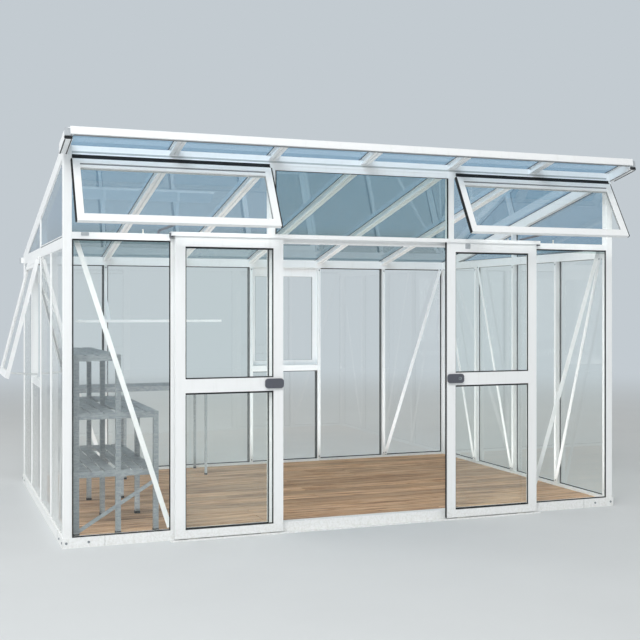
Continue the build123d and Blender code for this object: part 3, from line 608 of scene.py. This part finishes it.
# %% Boards
random = np.random.default_rng(7)
low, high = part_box("floor_deck")
BOARD_WIDTH, BOARD_GAP = 136 * MM, 8 * MM
BOARD_STEPS, END_GAP, UNEVEN, BOW = 9, 1.5 * MM, 1.6 * MM, 0.6 * MM
rows = int((high.y - low.y + BOARD_GAP) // (BOARD_WIDTH + BOARD_GAP))
board_width = (high.y - low.y - (rows - 1) * BOARD_GAP) / rows
thick = high.z - low.z
shapes, tones = [], []
for row in range(rows):
    y = low.y + board_width / 2 + row * (board_width + BOARD_GAP)
    meeting = random.choice([-PITCH, 0.0, PITCH])
    for start, end in ((low.x, meeting - END_GAP), (meeting + END_GAP, high.x)):
        drop = random.uniform(0, UNEVEN)
        outline = block(board_width, thick - UNEVEN, 2.5 * MM)
        middle = low.z + (thick - UNEVEN) / 2 + UNEVEN - drop
        path = np.linspace((start, y, middle), (end, y, middle), BOARD_STEPS)
        wave = np.sin(np.linspace(0, np.pi, BOARD_STEPS) * random.uniform(0.6, 1.4))
        path[:, 2] += BOW * wave * random.choice([-1, 0])
        shapes.append(strip(outline, path, (0, 1, 0), (0, 0, 1)))
        tones.append((len(shapes[-1][0]), random.uniform(0, 1)))
boards = surface("deck_boards", shapes, deck_wood)
values = np.concatenate([np.full(count, tone) for count, tone in tones])
attribute = boards.data.attributes.new("board", "FLOAT", "POINT")
attribute.data.foreach_set("value", values.astype(np.float32))
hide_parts("floor_deck")
print("boards", len(tones), "rows", rows)

# %% [markdown]
# Nuts and bolts
#
# The frame is bolted together: a square of hexagon heads at every base corner, a nut near each end of every
# bar and one at each end of a brace. A head is a turned profile whose radius also follows a hexagon, so one
# grid of rings and angles gives washer, head and domed top. It is worked out once and set in place many
# times, each time turned to face out of its own piece.

# %% One bolt head
HEAD_POINTS, WASHER_THICK = 24, 1.2 * MM


def bolt_head(across_flats, washer, thickness):
    """Rings of 24 points, round at the washer, hexagonal on the head: r is half the flats over cosine."""
    angle = np.linspace(0, 2 * np.pi, HEAD_POINTS, endpoint=False)
    hexagon = across_flats / 2 / np.cos((angle + np.pi / 6) % (np.pi / 3) - np.pi / 6)
    disc = np.full(HEAD_POINTS, washer)
    levels = [
        (disc, 0.0), (disc, WASHER_THICK), (hexagon, WASHER_THICK),
        (hexagon, thickness * 0.8), (hexagon * 0.9, thickness), (hexagon * 0.45, thickness * 1.03),
    ]
    points = np.concatenate([
        np.stack([r * np.cos(angle), r * np.sin(angle), np.full(HEAD_POINTS, z)], 1) for r, z in levels
    ])
    return points, solid_faces(len(levels), HEAD_POINTS)


def placed(shape, place, out):
    """The shape with its own Z turned to a direction and its origin at a place."""
    points, faces = shape
    out = np.asarray(out, float) / np.linalg.norm(out)
    helper = np.array([0.0, 0, 1]) if abs(out[2]) < 0.9 else np.array([1.0, 0, 0])
    right = np.cross(helper, out)
    right /= np.linalg.norm(right)
    turn = np.stack([right, np.cross(out, right), out])
    return points @ turn + np.asarray(place, float), faces


hex_bolt = bolt_head(10 * MM, 7.5 * MM, 5 * MM)
small_nut = bolt_head(8 * MM, 6 * MM, 4 * MM)
print("bolt head", len(hex_bolt[0]), "points")

# %% Places of the bolts
BASE_OUT, BOLT_HEIGHT = 5 * MM, 30 * MM
base_x, base_y = FACE_X + BASE_OUT, FACE_Y + BASE_OUT
spots = []
for sx in (-1, 1):
    for sy in (-1, 1):
        for step in (22 * MM, 150 * MM):
            spots.append(((sx * (base_x - step), sy * base_y, BOLT_HEIGHT), (0, sy, 0)))
            spots.append(((sx * base_x, sy * (base_y - step), BOLT_HEIGHT), (sx, 0, 0)))
INNER_X, INNER_Y = HALF_W - POST / 2, HALF_D - POST / 2
BEAM_BOTTOM, TRANSOM_BOTTOM = 1.735, 1.788
LOW_NUT, NUT_BELOW = 82 * MM, 20 * MM
nuts = []
for x in across:
    nuts += [((x, INNER_Y, z), (0, -1, 0)) for z in (LOW_NUT, BEAM_BOTTOM - NUT_BELOW)]
for x in (-2 * PITCH, 2 * PITCH):
    nuts += [((x, -INNER_Y, z), (0, 1, 0)) for z in (LOW_NUT, TRANSOM_BOTTOM - NUT_BELOW)]
for y in side_bars:
    for sx in (-1, 1):
        nuts += [((sx * INNER_X, y, z), (-sx, 0, 0)) for z in (LOW_NUT, BEAM_BOTTOM - NUT_BELOW)]
corner_heads = [placed(hex_bolt, place, way) for place, way in spots]
surface("corner_bolts", corner_heads, zinc_plate)
bar_heads = [placed(small_nut, place, way) for place, way in nuts]
surface("bar_nuts", bar_heads, zinc_plate)

# %% [markdown]
# The front vents
#
# The two vents hang from a bead inside a hood on the header. A black flap lies over the hood and hangs down
# to the top rail of the vent. It is painted shadow: the dark gap at the hinge, drawn as a black rubber sheet.
# A black seal runs down both sides of each vent. They are strips: the vent's own directions are worked out
# from its angle of 30 degrees, and a thin profile is carried along them.

# %% Hinge flaps of painted shadow and edge seals
VENT_ANGLE = math.radians(30)
HINGE = np.array([0.0, -FACE_Y - 8 * MM, 2.2641])
RAIL_DROP, VENT_LENGTH = 28 * MM, 458 * MM
SEAL_WIDE, SEAL_DEEP, SEAL_IN = 9 * MM, 20 * MM, 6 * MM
down = np.array([0.0, -math.sin(VENT_ANGLE), -math.cos(VENT_ANGLE)])
out = np.array([0.0, -math.cos(VENT_ANGLE), math.sin(VENT_ANGLE)])
front, up = np.array([0.0, -1, 0]), np.array([0.0, 0, 1])
# The flap's profile: a black sheet over the hood that paints the shadow in the hinge gap.
HINGE_SHADOW_FLAP = np.array([
    (9.3, 9.0), (11.6, 9.4), (12.0, -2.0), (21.0, -10.0),
    (28.6, -15.8), (27.0, -18.0), (18.5, -12.0), (9.3, -4.6),
]) * MM
shapes = []
for node in ("left_vent", "right_vent"):
    low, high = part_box(node)
    shapes.append(strip(HINGE_SHADOW_FLAP, [(low.x, *HINGE[1:]), (high.x, *HINGE[1:])], front, up))
    for edge, way in ((low.x, -1), (high.x, 1)):
        start = np.array([edge + way * SEAL_WIDE / 2, *HINGE[1:]]) + out * SEAL_IN
        path = [start + down * RAIL_DROP, start + down * VENT_LENGTH]
        shapes.append(strip(block(SEAL_WIDE, SEAL_DEEP, 1 * MM), path, (way, 0, 0), out))
surface("vent_seals_and_hinge_shadow", shapes, rubber)

# %% [markdown]
# Grooves in the head rails
#
# The header and the top rail of each front vent have a groove along their face. The shade in each groove is
# painted: a grey strip with a rounded face is carried along it, and reads as one soft grey line.

# %% Grey strips of painted groove shade
STRIP_HEIGHT, STRIP_ROUND, STRIP_BACK = 11 * MM, 0.9 * MM, 1 * MM
GROOVE_MIDDLE, GROOVE_BACK, VENT_STILE = RAIL_DROP + 37 * MM, 13.9 * MM, 41 * MM
HEADER_GROOVE = 2.290


def groove_shade_line(start, end, normal, along_up):
    """A flat back and a face that follows half a flattened circle, carried between two points."""
    turn = np.linspace(-np.pi / 2, np.pi / 2, 7)
    face = np.stack([STRIP_ROUND * np.cos(turn), STRIP_HEIGHT / 2 * np.sin(turn)], 1)
    back = [(-STRIP_BACK, STRIP_HEIGHT / 2), (-STRIP_BACK, -STRIP_HEIGHT / 2)]
    return strip(np.vstack([face, back]), [start, end], normal, along_up)


# Grey strips that paint the shade in the vents' grooves.
shapes = []
middle = HINGE + down * GROOVE_MIDDLE + out * GROOVE_BACK
for node in ("left_vent", "right_vent"):
    low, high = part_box(node)
    ends = [(x, *middle[1:]) for x in (low.x + VENT_STILE, high.x - VENT_STILE)]
    shapes.append(groove_shade_line(*ends, out, -down))
surface("groove_shade_lines", shapes, grey_rubber)
# A pale grey strip that paints the shade in the header's groove.
line = groove_shade_line((-INNER_X, -FACE_Y, HEADER_GROOVE), (INNER_X, -FACE_Y, HEADER_GROOVE), front, up)
surface("header_groove_shade", [line], pale_rubber)

# %% [markdown]
# Roof edges
#
# Each verge ends at the front in a moulded cap: a grey plate, and under it a black plate that is painted
# shadow in the dark recess where the hollow section is open. Two dark strips run along its underside back to
# the wall, and a thin grey strip hangs a few millimetres under the fascia. The caps are plates with cut
# corners, carried a few millimetres forward, square to the roof's fall.

# %% Verge caps and strips
FALL = math.radians(12)
EAVE, OVERHANG, FASCIA = 1.795, 240 * MM, 22 * MM
ROOF_THICK, CAP_WIDTH, UNDERSIDE = 20 * MM, 44 * MM, 71 * MM
# Each cap is a grey plate and a black plate under it; the black plate is painted shadow in the verge's open
# end.
CAPS = ((27 * MM, 44 * MM, 4 * MM), (60 * MM, 18 * MM, 2.5 * MM))
fall_back = np.array([0.0, math.cos(FALL), -math.sin(FALL)])
roof_up = np.array([0.0, math.sin(FALL), math.cos(FALL)])


def on_roof(x, y, depth):
    """A point under the roof's top face, which is lowest over the back posts and rises at its slope."""
    top = EAVE + (HALF_D - y) * math.tan(FALL) + ROOF_THICK / math.cos(FALL)
    return np.array([x, y, top]) - depth * roof_up


BAR_START = -FACE_Y - OVERHANG + FASCIA * math.cos(FALL)
plates, darks = [], []
for sx in (-1, 1):
    for (depth, height, thick), group in zip(CAPS, (plates, darks)):
        face = on_roof(sx * FACE_X, BAR_START, depth)
        outline = block(CAP_WIDTH, height, 2 * MM)
        group.append(strip(outline, [face - fall_back * thick, face], (1, 0, 0), -roof_up))
    for x in (FACE_X - 17 * MM, FACE_X + 18 * MM):
        start = on_roof(sx * x, BAR_START + 2 * MM, UNDERSIDE)
        run = (-FACE_Y - start[1]) / fall_back[1]
        darks.append(strip(block(5 * MM, 2.4 * MM), [start, start + fall_back * run], (1, 0, 0), -roof_up))
edge = on_roof(0, BAR_START - 5 * MM, 46 * MM)
ends = [(x, *edge[1:]) for x in (-FACE_X + 30 * MM, FACE_X - 30 * MM)]
line = strip(block(5 * MM, 7 * MM, 1 * MM), ends, fall_back, roof_up)
surface("fascia_strip", [line], grey_rubber)
surface("verge_caps", plates, grey_cap)
# The black plates of painted shadow and the dark underside strips.
surface("verge_seals_and_recess_shadow", darks, rubber)

# %% [markdown]
# Lock, clips and pegs
#
# The small parts that the eye finds first on the front: a round lock cylinder in the right lock case, a clip
# on the right door's head rail and one on the transom, white pegs beside each vent's stay, a dark knob under
# each vent, and the dark plugs that close the ends of the door track. The turned ones are a profile of radius
# and height taken round a circle, and the flat ones are outlines with cut corners, carried through their
# thickness.

# %% Turned parts
def turned(profile_mm, count=20):
    """Point (i, j) is at profile i's height, and at its radius times the cosine and sine of angle j."""
    profile = np.array(profile_mm) * MM
    angle = np.linspace(0, 2 * np.pi, count, endpoint=False)
    points = np.stack([
        profile[:, :1] * np.cos(angle), profile[:, :1] * np.sin(angle), np.repeat(profile[:, 1:], count, 1)
    ], 2).reshape(-1, 3)
    return points, solid_faces(len(profile), count)


def plate(width, height, corner, x, z, near, far):
    """A plate that faces the front: an outline with cut corners, carried from one depth to another."""
    return strip(block(width, height, corner), [(x, near, z), (x, far, z)], (1, 0, 0), up)


DOOR_FACE = -FACE_Y - 48 * MM
LOCK_FACE, LOCK_X, LOCK_Z = DOOR_FACE - 14 * MM, 0.652, 0.925
cylinder = turned([(12, 0), (12, 2), (11, 3), (8.2, 3), (8, 2.4)])
lock_cylinder = placed(cylinder, (LOCK_X, LOCK_FACE, LOCK_Z), front)
surface("lock_cylinder", [lock_cylinder], zinc_plate, "right_leaf", smooth=True)
keyhole = plate(1.8 * MM, 8 * MM, 0.6 * MM, LOCK_X, LOCK_Z, LOCK_FACE - 2.3 * MM, LOCK_FACE - 3.1 * MM)
surface("keyhole", [keyhole], rubber, "right_leaf")

# %% Clips, pegs and plugs
DOOR_CLIP, TRANSOM_CLIP = (0.716, 1.793), (-1.761, 1.817)
clip = plate(36 * MM, 34 * MM, 3 * MM, *DOOR_CLIP, DOOR_FACE, DOOR_FACE - 3 * MM)
surface("door_head_clip", [clip], grey_cap, "right_leaf")
clip = plate(46 * MM, 20 * MM, 3 * MM, *TRANSOM_CLIP, -FACE_Y, -FACE_Y - 4 * MM)
surface("transom_clip", [clip], grey_cap)

TRANSOM_TOP, PEGS_X = 1.828, (-1.418, -1.062, 1.062, 1.418)
peg = turned([(6, 0), (6, 3), (3.4, 5), (3.4, 17), (5, 19), (5, 24), (3, 26)])
pegs = [placed(peg, (x, -HALF_D, TRANSOM_TOP), up) for x in PEGS_X]
surface("stay_pegs", pegs, nylon, smooth=True)
KNOB_X, KNOB_DOWN, KNOB_IN = 1.226, 434 * MM, 7.7 * MM
knob = turned([(4, 0), (4, 6), (9, 8), (10, 12), (9, 17), (5, 20)])
foot = HINGE + down * KNOB_DOWN - out * KNOB_IN
knobs = [placed(knob, (x, *foot[1:]), -out) for x in (-KNOB_X, KNOB_X)]
surface("vent_knobs", knobs, lock_paint, smooth=True)

TRACK_END, TRACK_OUT, TRACK_MIDDLE = 1.265, FACE_Y + 29 * MM, 1.820
plug_ends = (TRACK_END - 11 * MM, TRACK_END + 1.5 * MM)
plug = block(46 * MM, 26 * MM, 2 * MM)
plugs = [
    strip(plug, [(sx * x, -TRACK_OUT, TRACK_MIDDLE) for x in plug_ends], (0, 1, 0), up) for sx in (-1, 1)
]
surface("track_plugs", plugs, lock_paint)

# %% [markdown]
# Joints of the base and bolts of the braces
#
# The base is a ring of four corner pieces and four rails, and where they meet, a fine dark line runs down
# the face and slants across the top. Each diagonal brace is a flat bar with one bolt near either end, on
# the side that faces the room. The line is a thin strip laid on the surface; the bolts are placed along the
# line between a brace's two ends, which are worked out from the bays it crosses.

# %% Base joints
BASE_HEIGHT, BASE_LEG, BASE_SLANT, BASE_DEPTH = 60 * MM, 225 * MM, 18 * MM, 55 * MM
HAIR = block(1.6 * MM, 0.8 * MM)
lines = []
for sx in (-1, 1):
    for sy in (-1, 1):
        corner = np.array([sx * base_x, sy * base_y, 0.0])
        for along, across_way in (((sx, 0, 0), (0, sy, 0)), ((0, sy, 0), (sx, 0, 0))):
            along, across_way = np.array(along, float), np.array(across_way, float)
            foot = corner - along * (BASE_LEG + BASE_SLANT)
            head = foot + up * BASE_HEIGHT
            behind = head + along * BASE_SLANT - across_way * BASE_DEPTH
            lines.append(strip(HAIR, [foot + up * 2 * MM, head], along, across_way))
            lines.append(strip(HAIR, [head, behind], along, up))
surface("base_joints", lines, grey_rubber)

# %% Brace bolts
BRACE_TOP_IN, BRACE_OVER, BRACE_FOOT, BOLT_IN = 50 * MM, 12 * MM, 71 * MM, 16 * MM
runs = {
    "front_braces": (0, HALF_W, TRANSOM_BOTTOM, [(0, 1), (6, 5)]),
    "back_braces": (0, HALF_W, BEAM_BOTTOM, [(0, 1), (6, 5)]),
    "left_braces": (1, HALF_D, BEAM_BOTTOM, [(4, 3), (0, 1)]),
    "right_braces": (1, HALF_D, BEAM_BOTTOM, [(0, 1), (3, 2), (4, 3)]),
}
bolts = []
for node, (axis, half, carrier, pairs) in runs.items():
    low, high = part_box(node)
    inward = np.zeros(3)
    inward[1 - axis] = -np.sign(low[1 - axis])
    face = min((low[1 - axis], high[1 - axis]), key=abs)
    for top_line, foot_line in pairs:
        way = np.sign(foot_line - top_line)
        top, foot = np.zeros(3), np.zeros(3)
        top[axis] = -half + top_line * PITCH + way * BRACE_TOP_IN
        foot[axis] = -half + foot_line * PITCH - way * BRACE_OVER
        top[2], foot[2] = carrier + BRACE_OVER, BRACE_FOOT
        top[1 - axis] = foot[1 - axis] = face
        step = (foot - top) / np.linalg.norm(foot - top) * BOLT_IN
        bolts += [placed(small_nut, top + step, inward), placed(small_nut, foot - step, inward)]
surface("brace_bolts", bolts, zinc_plate)

# %% [markdown]
# Staging bolts and feet
#
# The staging inside is made of square tube. A bolt goes through each joint of its front frame, and every
# leg stands in a black moulded foot that keeps the metal off the wet boards. The feet are short square
# strips a little wider than the tube, one at each leg.

# %% Staging hardware
STAGE_LEFT, STAGE_FRONT, STAGE_BACK, TUBE = -1.812, -1.180, 0.020, 30 * MM
TOP_SHELF, TIER, LOW_SHELF = 1.110, 0.767, 0.425
TOP_LEG_X, FRONT_LEG_X, BOLT_UNDER = -1.553, -1.327, 22 * MM
legs = {
    STAGE_LEFT + TUBE / 2: (TOP_SHELF, TIER, LOW_SHELF),
    TOP_LEG_X: (TOP_SHELF,),
    FRONT_LEG_X: (TIER, LOW_SHELF),
}
bolts = [
    placed(small_nut, (x, STAGE_FRONT, top - BOLT_UNDER), front) for x, tops in legs.items() for top in tops
]
surface("staging_bolts", bolts, zinc_plate)
DECK_TOP, FOOT_GAP = 45 * MM, 0.3 * MM


def feet_at(xs, ys, tube, wall, height):
    """A square cap round the end of each leg, a little wider than its tube."""
    cap = block(tube + 2 * wall, tube + 2 * wall, wall)
    return [
        strip(cap, [(x, y, DECK_TOP + FOOT_GAP), (x, y, DECK_TOP + height)], (1, 0, 0), (0, 1, 0))
        for x in xs for y in ys
    ]


middle_leg = (STAGE_FRONT + STAGE_BACK - TUBE) / 2 + TUBE / 2
stage_ys = (STAGE_FRONT + TUBE / 2, middle_leg, STAGE_BACK - TUBE / 2)
BENCH_LEG, BENCH_FRONT, BENCH_BACK = 18 * MM, 0.795, 1.180
BENCH_MIDDLE, BENCH_RIGHT = -1.156, -0.500
bench_xs = (STAGE_LEFT + BENCH_LEG / 2, BENCH_MIDDLE, BENCH_RIGHT - BENCH_LEG / 2)
bench_ys = (BENCH_FRONT + BENCH_LEG / 2, BENCH_BACK - BENCH_LEG / 2)
feet = feet_at(legs, stage_ys, TUBE, 2 * MM, 16 * MM)
feet += feet_at(bench_xs, bench_ys, BENCH_LEG, 1.5 * MM, 14 * MM)
surface("staging_feet", feet, rubber)

# %% [markdown]
# Gutter and pipe fittings
#
# The gutter hangs in bent straps, one at each bar of the back wall and one near either end, and is closed by
# an end plate on both sides. The pipe plugs into a collar under the gutter and has one more half way down and
# one at its foot. A strap is a flat profile carried round the gutter, a collar is a turned ring with a bead
# at its lower edge.

# %% Gutter straps, ends and collars
GUTTER_LOW, GUTTER_HIGH, GUTTER_OUT, GUTTER_END = 1.744, 1.786, FACE_Y + 72 * MM, FACE_X + 20 * MM
STRAP_GAP, STRAP_HOOK, OUTER_STRAP, END_THICK = 1.2 * MM, 9 * MM, 1.55, 2.5 * MM
strap_low, strap_high, strap_out = GUTTER_LOW - STRAP_GAP, GUTTER_HIGH + STRAP_GAP, GUTTER_OUT + STRAP_GAP
hook = GUTTER_OUT - STRAP_HOOK
path = np.array([
    (FACE_Y, strap_low), (strap_out, strap_low), (strap_out, strap_high), (hook, strap_high),
    (hook, GUTTER_HIGH - 4 * MM),
])
thick = np.array([(0, 0, -1), (0, 1, -1), (0, 1, 1), (0, -1, 1), (0, -1, 0)], float)
straps = [
    strip(block(22 * MM, 2 * MM), np.insert(path, 0, x, axis=1), (1, 0, 0), thick)
    for x in (-OUTER_STRAP, *across, OUTER_STRAP)
]
surface("gutter_straps", straps, coat)
end_plate = block(GUTTER_OUT - FACE_Y, GUTTER_HIGH - GUTTER_LOW, 5 * MM)
middle = np.array([0.0, (GUTTER_OUT + FACE_Y) / 2, (GUTTER_HIGH + GUTTER_LOW) / 2])
ends = [
    strip(end_plate, [middle + (sx * x, 0, 0) for x in (GUTTER_END, GUTTER_END + END_THICK)], (0, 1, 0), up)
    for sx in (-1, 1)
]
surface("gutter_ends", ends, grey_cap)
COLLAR, HALF_WAY, PIPE_FOOT = 36 * MM, 1.02, 125 * MM
pipe_y = (FACE_Y + GUTTER_OUT) / 2
collar = turned([(17.5, 0), (20.5, 1), (20.5, 5), (19.2, 7), (19.2, 34), (17.5, 36)], count=32)
collars = [placed(collar, (-HALF_W, pipe_y, z), up) for z in (GUTTER_LOW - COLLAR, HALF_WAY, PIPE_FOOT)]
surface("pipe_collars", collars, coat)

# %% [markdown]
# Floor and backdrop
#
# The house stands on a plain pale floor under an even sky. The floor takes the house's shadow close by, and
# from 5 m out it fades into the colour of the backdrop, so that no edge shows behind the glass. The sky
# that lights the house is white, and what the camera, the glass and the metal see of it is the pale
# backdrop colour: two backgrounds are mixed by the kind of ray. A ray that has already left a painted
# surface is gathering light, so it finds the white sky even where it has to pass a pane.

# %% Floor
BACKDROP = "#c3cbd1"
FLOOR_REACH, FADE_FROM, FADE_TO = 90.0, 5.0, 16.0
floor_mesh = bpy.data.meshes.new("studio_floor")
floor_corners = [(x * FLOOR_REACH, y * FLOOR_REACH, 0) for x, y in ((-1, -1), (1, -1), (1, 1), (-1, 1))]
floor_mesh.from_pydata(floor_corners, [], [(0, 1, 2, 3)])
studio_floor = bpy.data.objects.new("studio_floor", floor_mesh)
bpy.context.scene.collection.objects.link(studio_floor)
floor_paint, place = new_material("studio_floor_paint")
distance = add(floor_paint, "ShaderNodeVectorMath", {"operation": "LENGTH"}, i0=place).outputs["Value"]
far = mapped(floor_paint, distance, FADE_FROM, FADE_TO, interpolation_type="SMOOTHSTEP")
floor_tone = mixed(floor_paint, noise(floor_paint, place, 700, 3.0), colour("#d0d4d6"), colour("#d6dadc"))
matt = add(floor_paint, "ShaderNodeBsdfDiffuse", Color=floor_tone)
glow = add(floor_paint, "ShaderNodeEmission", Color=colour(BACKDROP), Strength=1.0)
faded = add(floor_paint, "ShaderNodeMixShader", i0=far, i1=matt.outputs[0], i2=glow.outputs[0])
finish_with(floor_paint, faded)
floor_mesh.materials.append(floor_paint)
print("floor", 2 * FLOOR_REACH, "m wide")

# %% Sky
world = bpy.data.worlds.new("studio")
bpy.context.scene.world = world
world.use_nodes = True
world.node_tree.nodes.clear()
lit = add(world, "ShaderNodeBackground", Color=colour("#fbfbf9"), Strength=0.62)
seen = add(world, "ShaderNodeBackground", Color=colour(BACKDROP), Strength=1.0)
ray = add(world, "ShaderNodeLightPath").outputs
view = maths(world, "MAXIMUM", ray["Is Camera Ray"], ray["Is Glossy Ray"])
view = maths(world, "MAXIMUM", view, ray["Is Transmission Ray"])
straight = maths(world, "LESS_THAN", ray["Diffuse Depth"], 0.5)
view = maths(world, "MULTIPLY", view, straight)
backdrop = add(world, "ShaderNodeMixShader", i0=view, i1=lit.outputs[0], i2=seen.outputs[0])
add(world, "ShaderNodeOutputWorld", Surface=backdrop.outputs[0])
print("world", len(world.node_tree.nodes), "nodes")

# %% [markdown]
# Lamps
#
# The sky does most of the work. A large soft lamp high on the left gives the fronts a direction, a weak low
# one fills the undersides, one beside the left gable keeps that wall as white as the front, and the last
# lies on the floor boards and shines up, as sunlit boards do, so that the undersides of the roof bars read
# as white. Flat glass mirrors whatever stands opposite it, and a lamp in a pane looks like a sheet of paper,
# so the lamps light the house but are hidden from mirrored rays. What the glass mirrors is the backdrop.

# %% Soft lamps
def soft_box(name, place, target, width, height, power):
    """A rectangular lamp at a place, turned so that it shines at a target."""
    lamp = bpy.data.lights.new(name, "AREA")
    lamp.shape = "RECTANGLE"
    lamp.size, lamp.size_y, lamp.energy = width, height, power
    box = bpy.data.objects.new(name, lamp)
    direction = np.array(target, float) - np.array(place, float)
    length = float(np.linalg.norm(direction))
    box.location = place
    box.rotation_euler = (
        math.acos(-direction[2] / length), 0, math.atan2(direction[1], direction[0]) - math.pi / 2,
    )
    bpy.context.scene.collection.objects.link(box)
    box.visible_camera = box.visible_glossy = False
    return box


soft_box("key_light", (-4.3, -7.8, 8.2), (0.3, -1.0, 1.2), 5.0, 4.0, 505)
soft_box("low_fill", (-5.2, -8.6, 1.3), (0.6, -1.2, 1.9), 5.0, 1.8, 60)
soft_box("gable_fill", (-8.4, 0.6, 3.4), (-1.9, 0.0, 1.1), 5.0, 3.0, 150)
boards_bounce = soft_box("boards_bounce", (0.1, 0.0, 0.07), (0.1, 0.01, 2.0), 3.3, 2.0, 36)
boards_bounce.visible_transmission = False
bpy.context.scene.view_settings.view_transform = "Standard"
print("lamps", [lamp.name for lamp in bpy.data.lights])
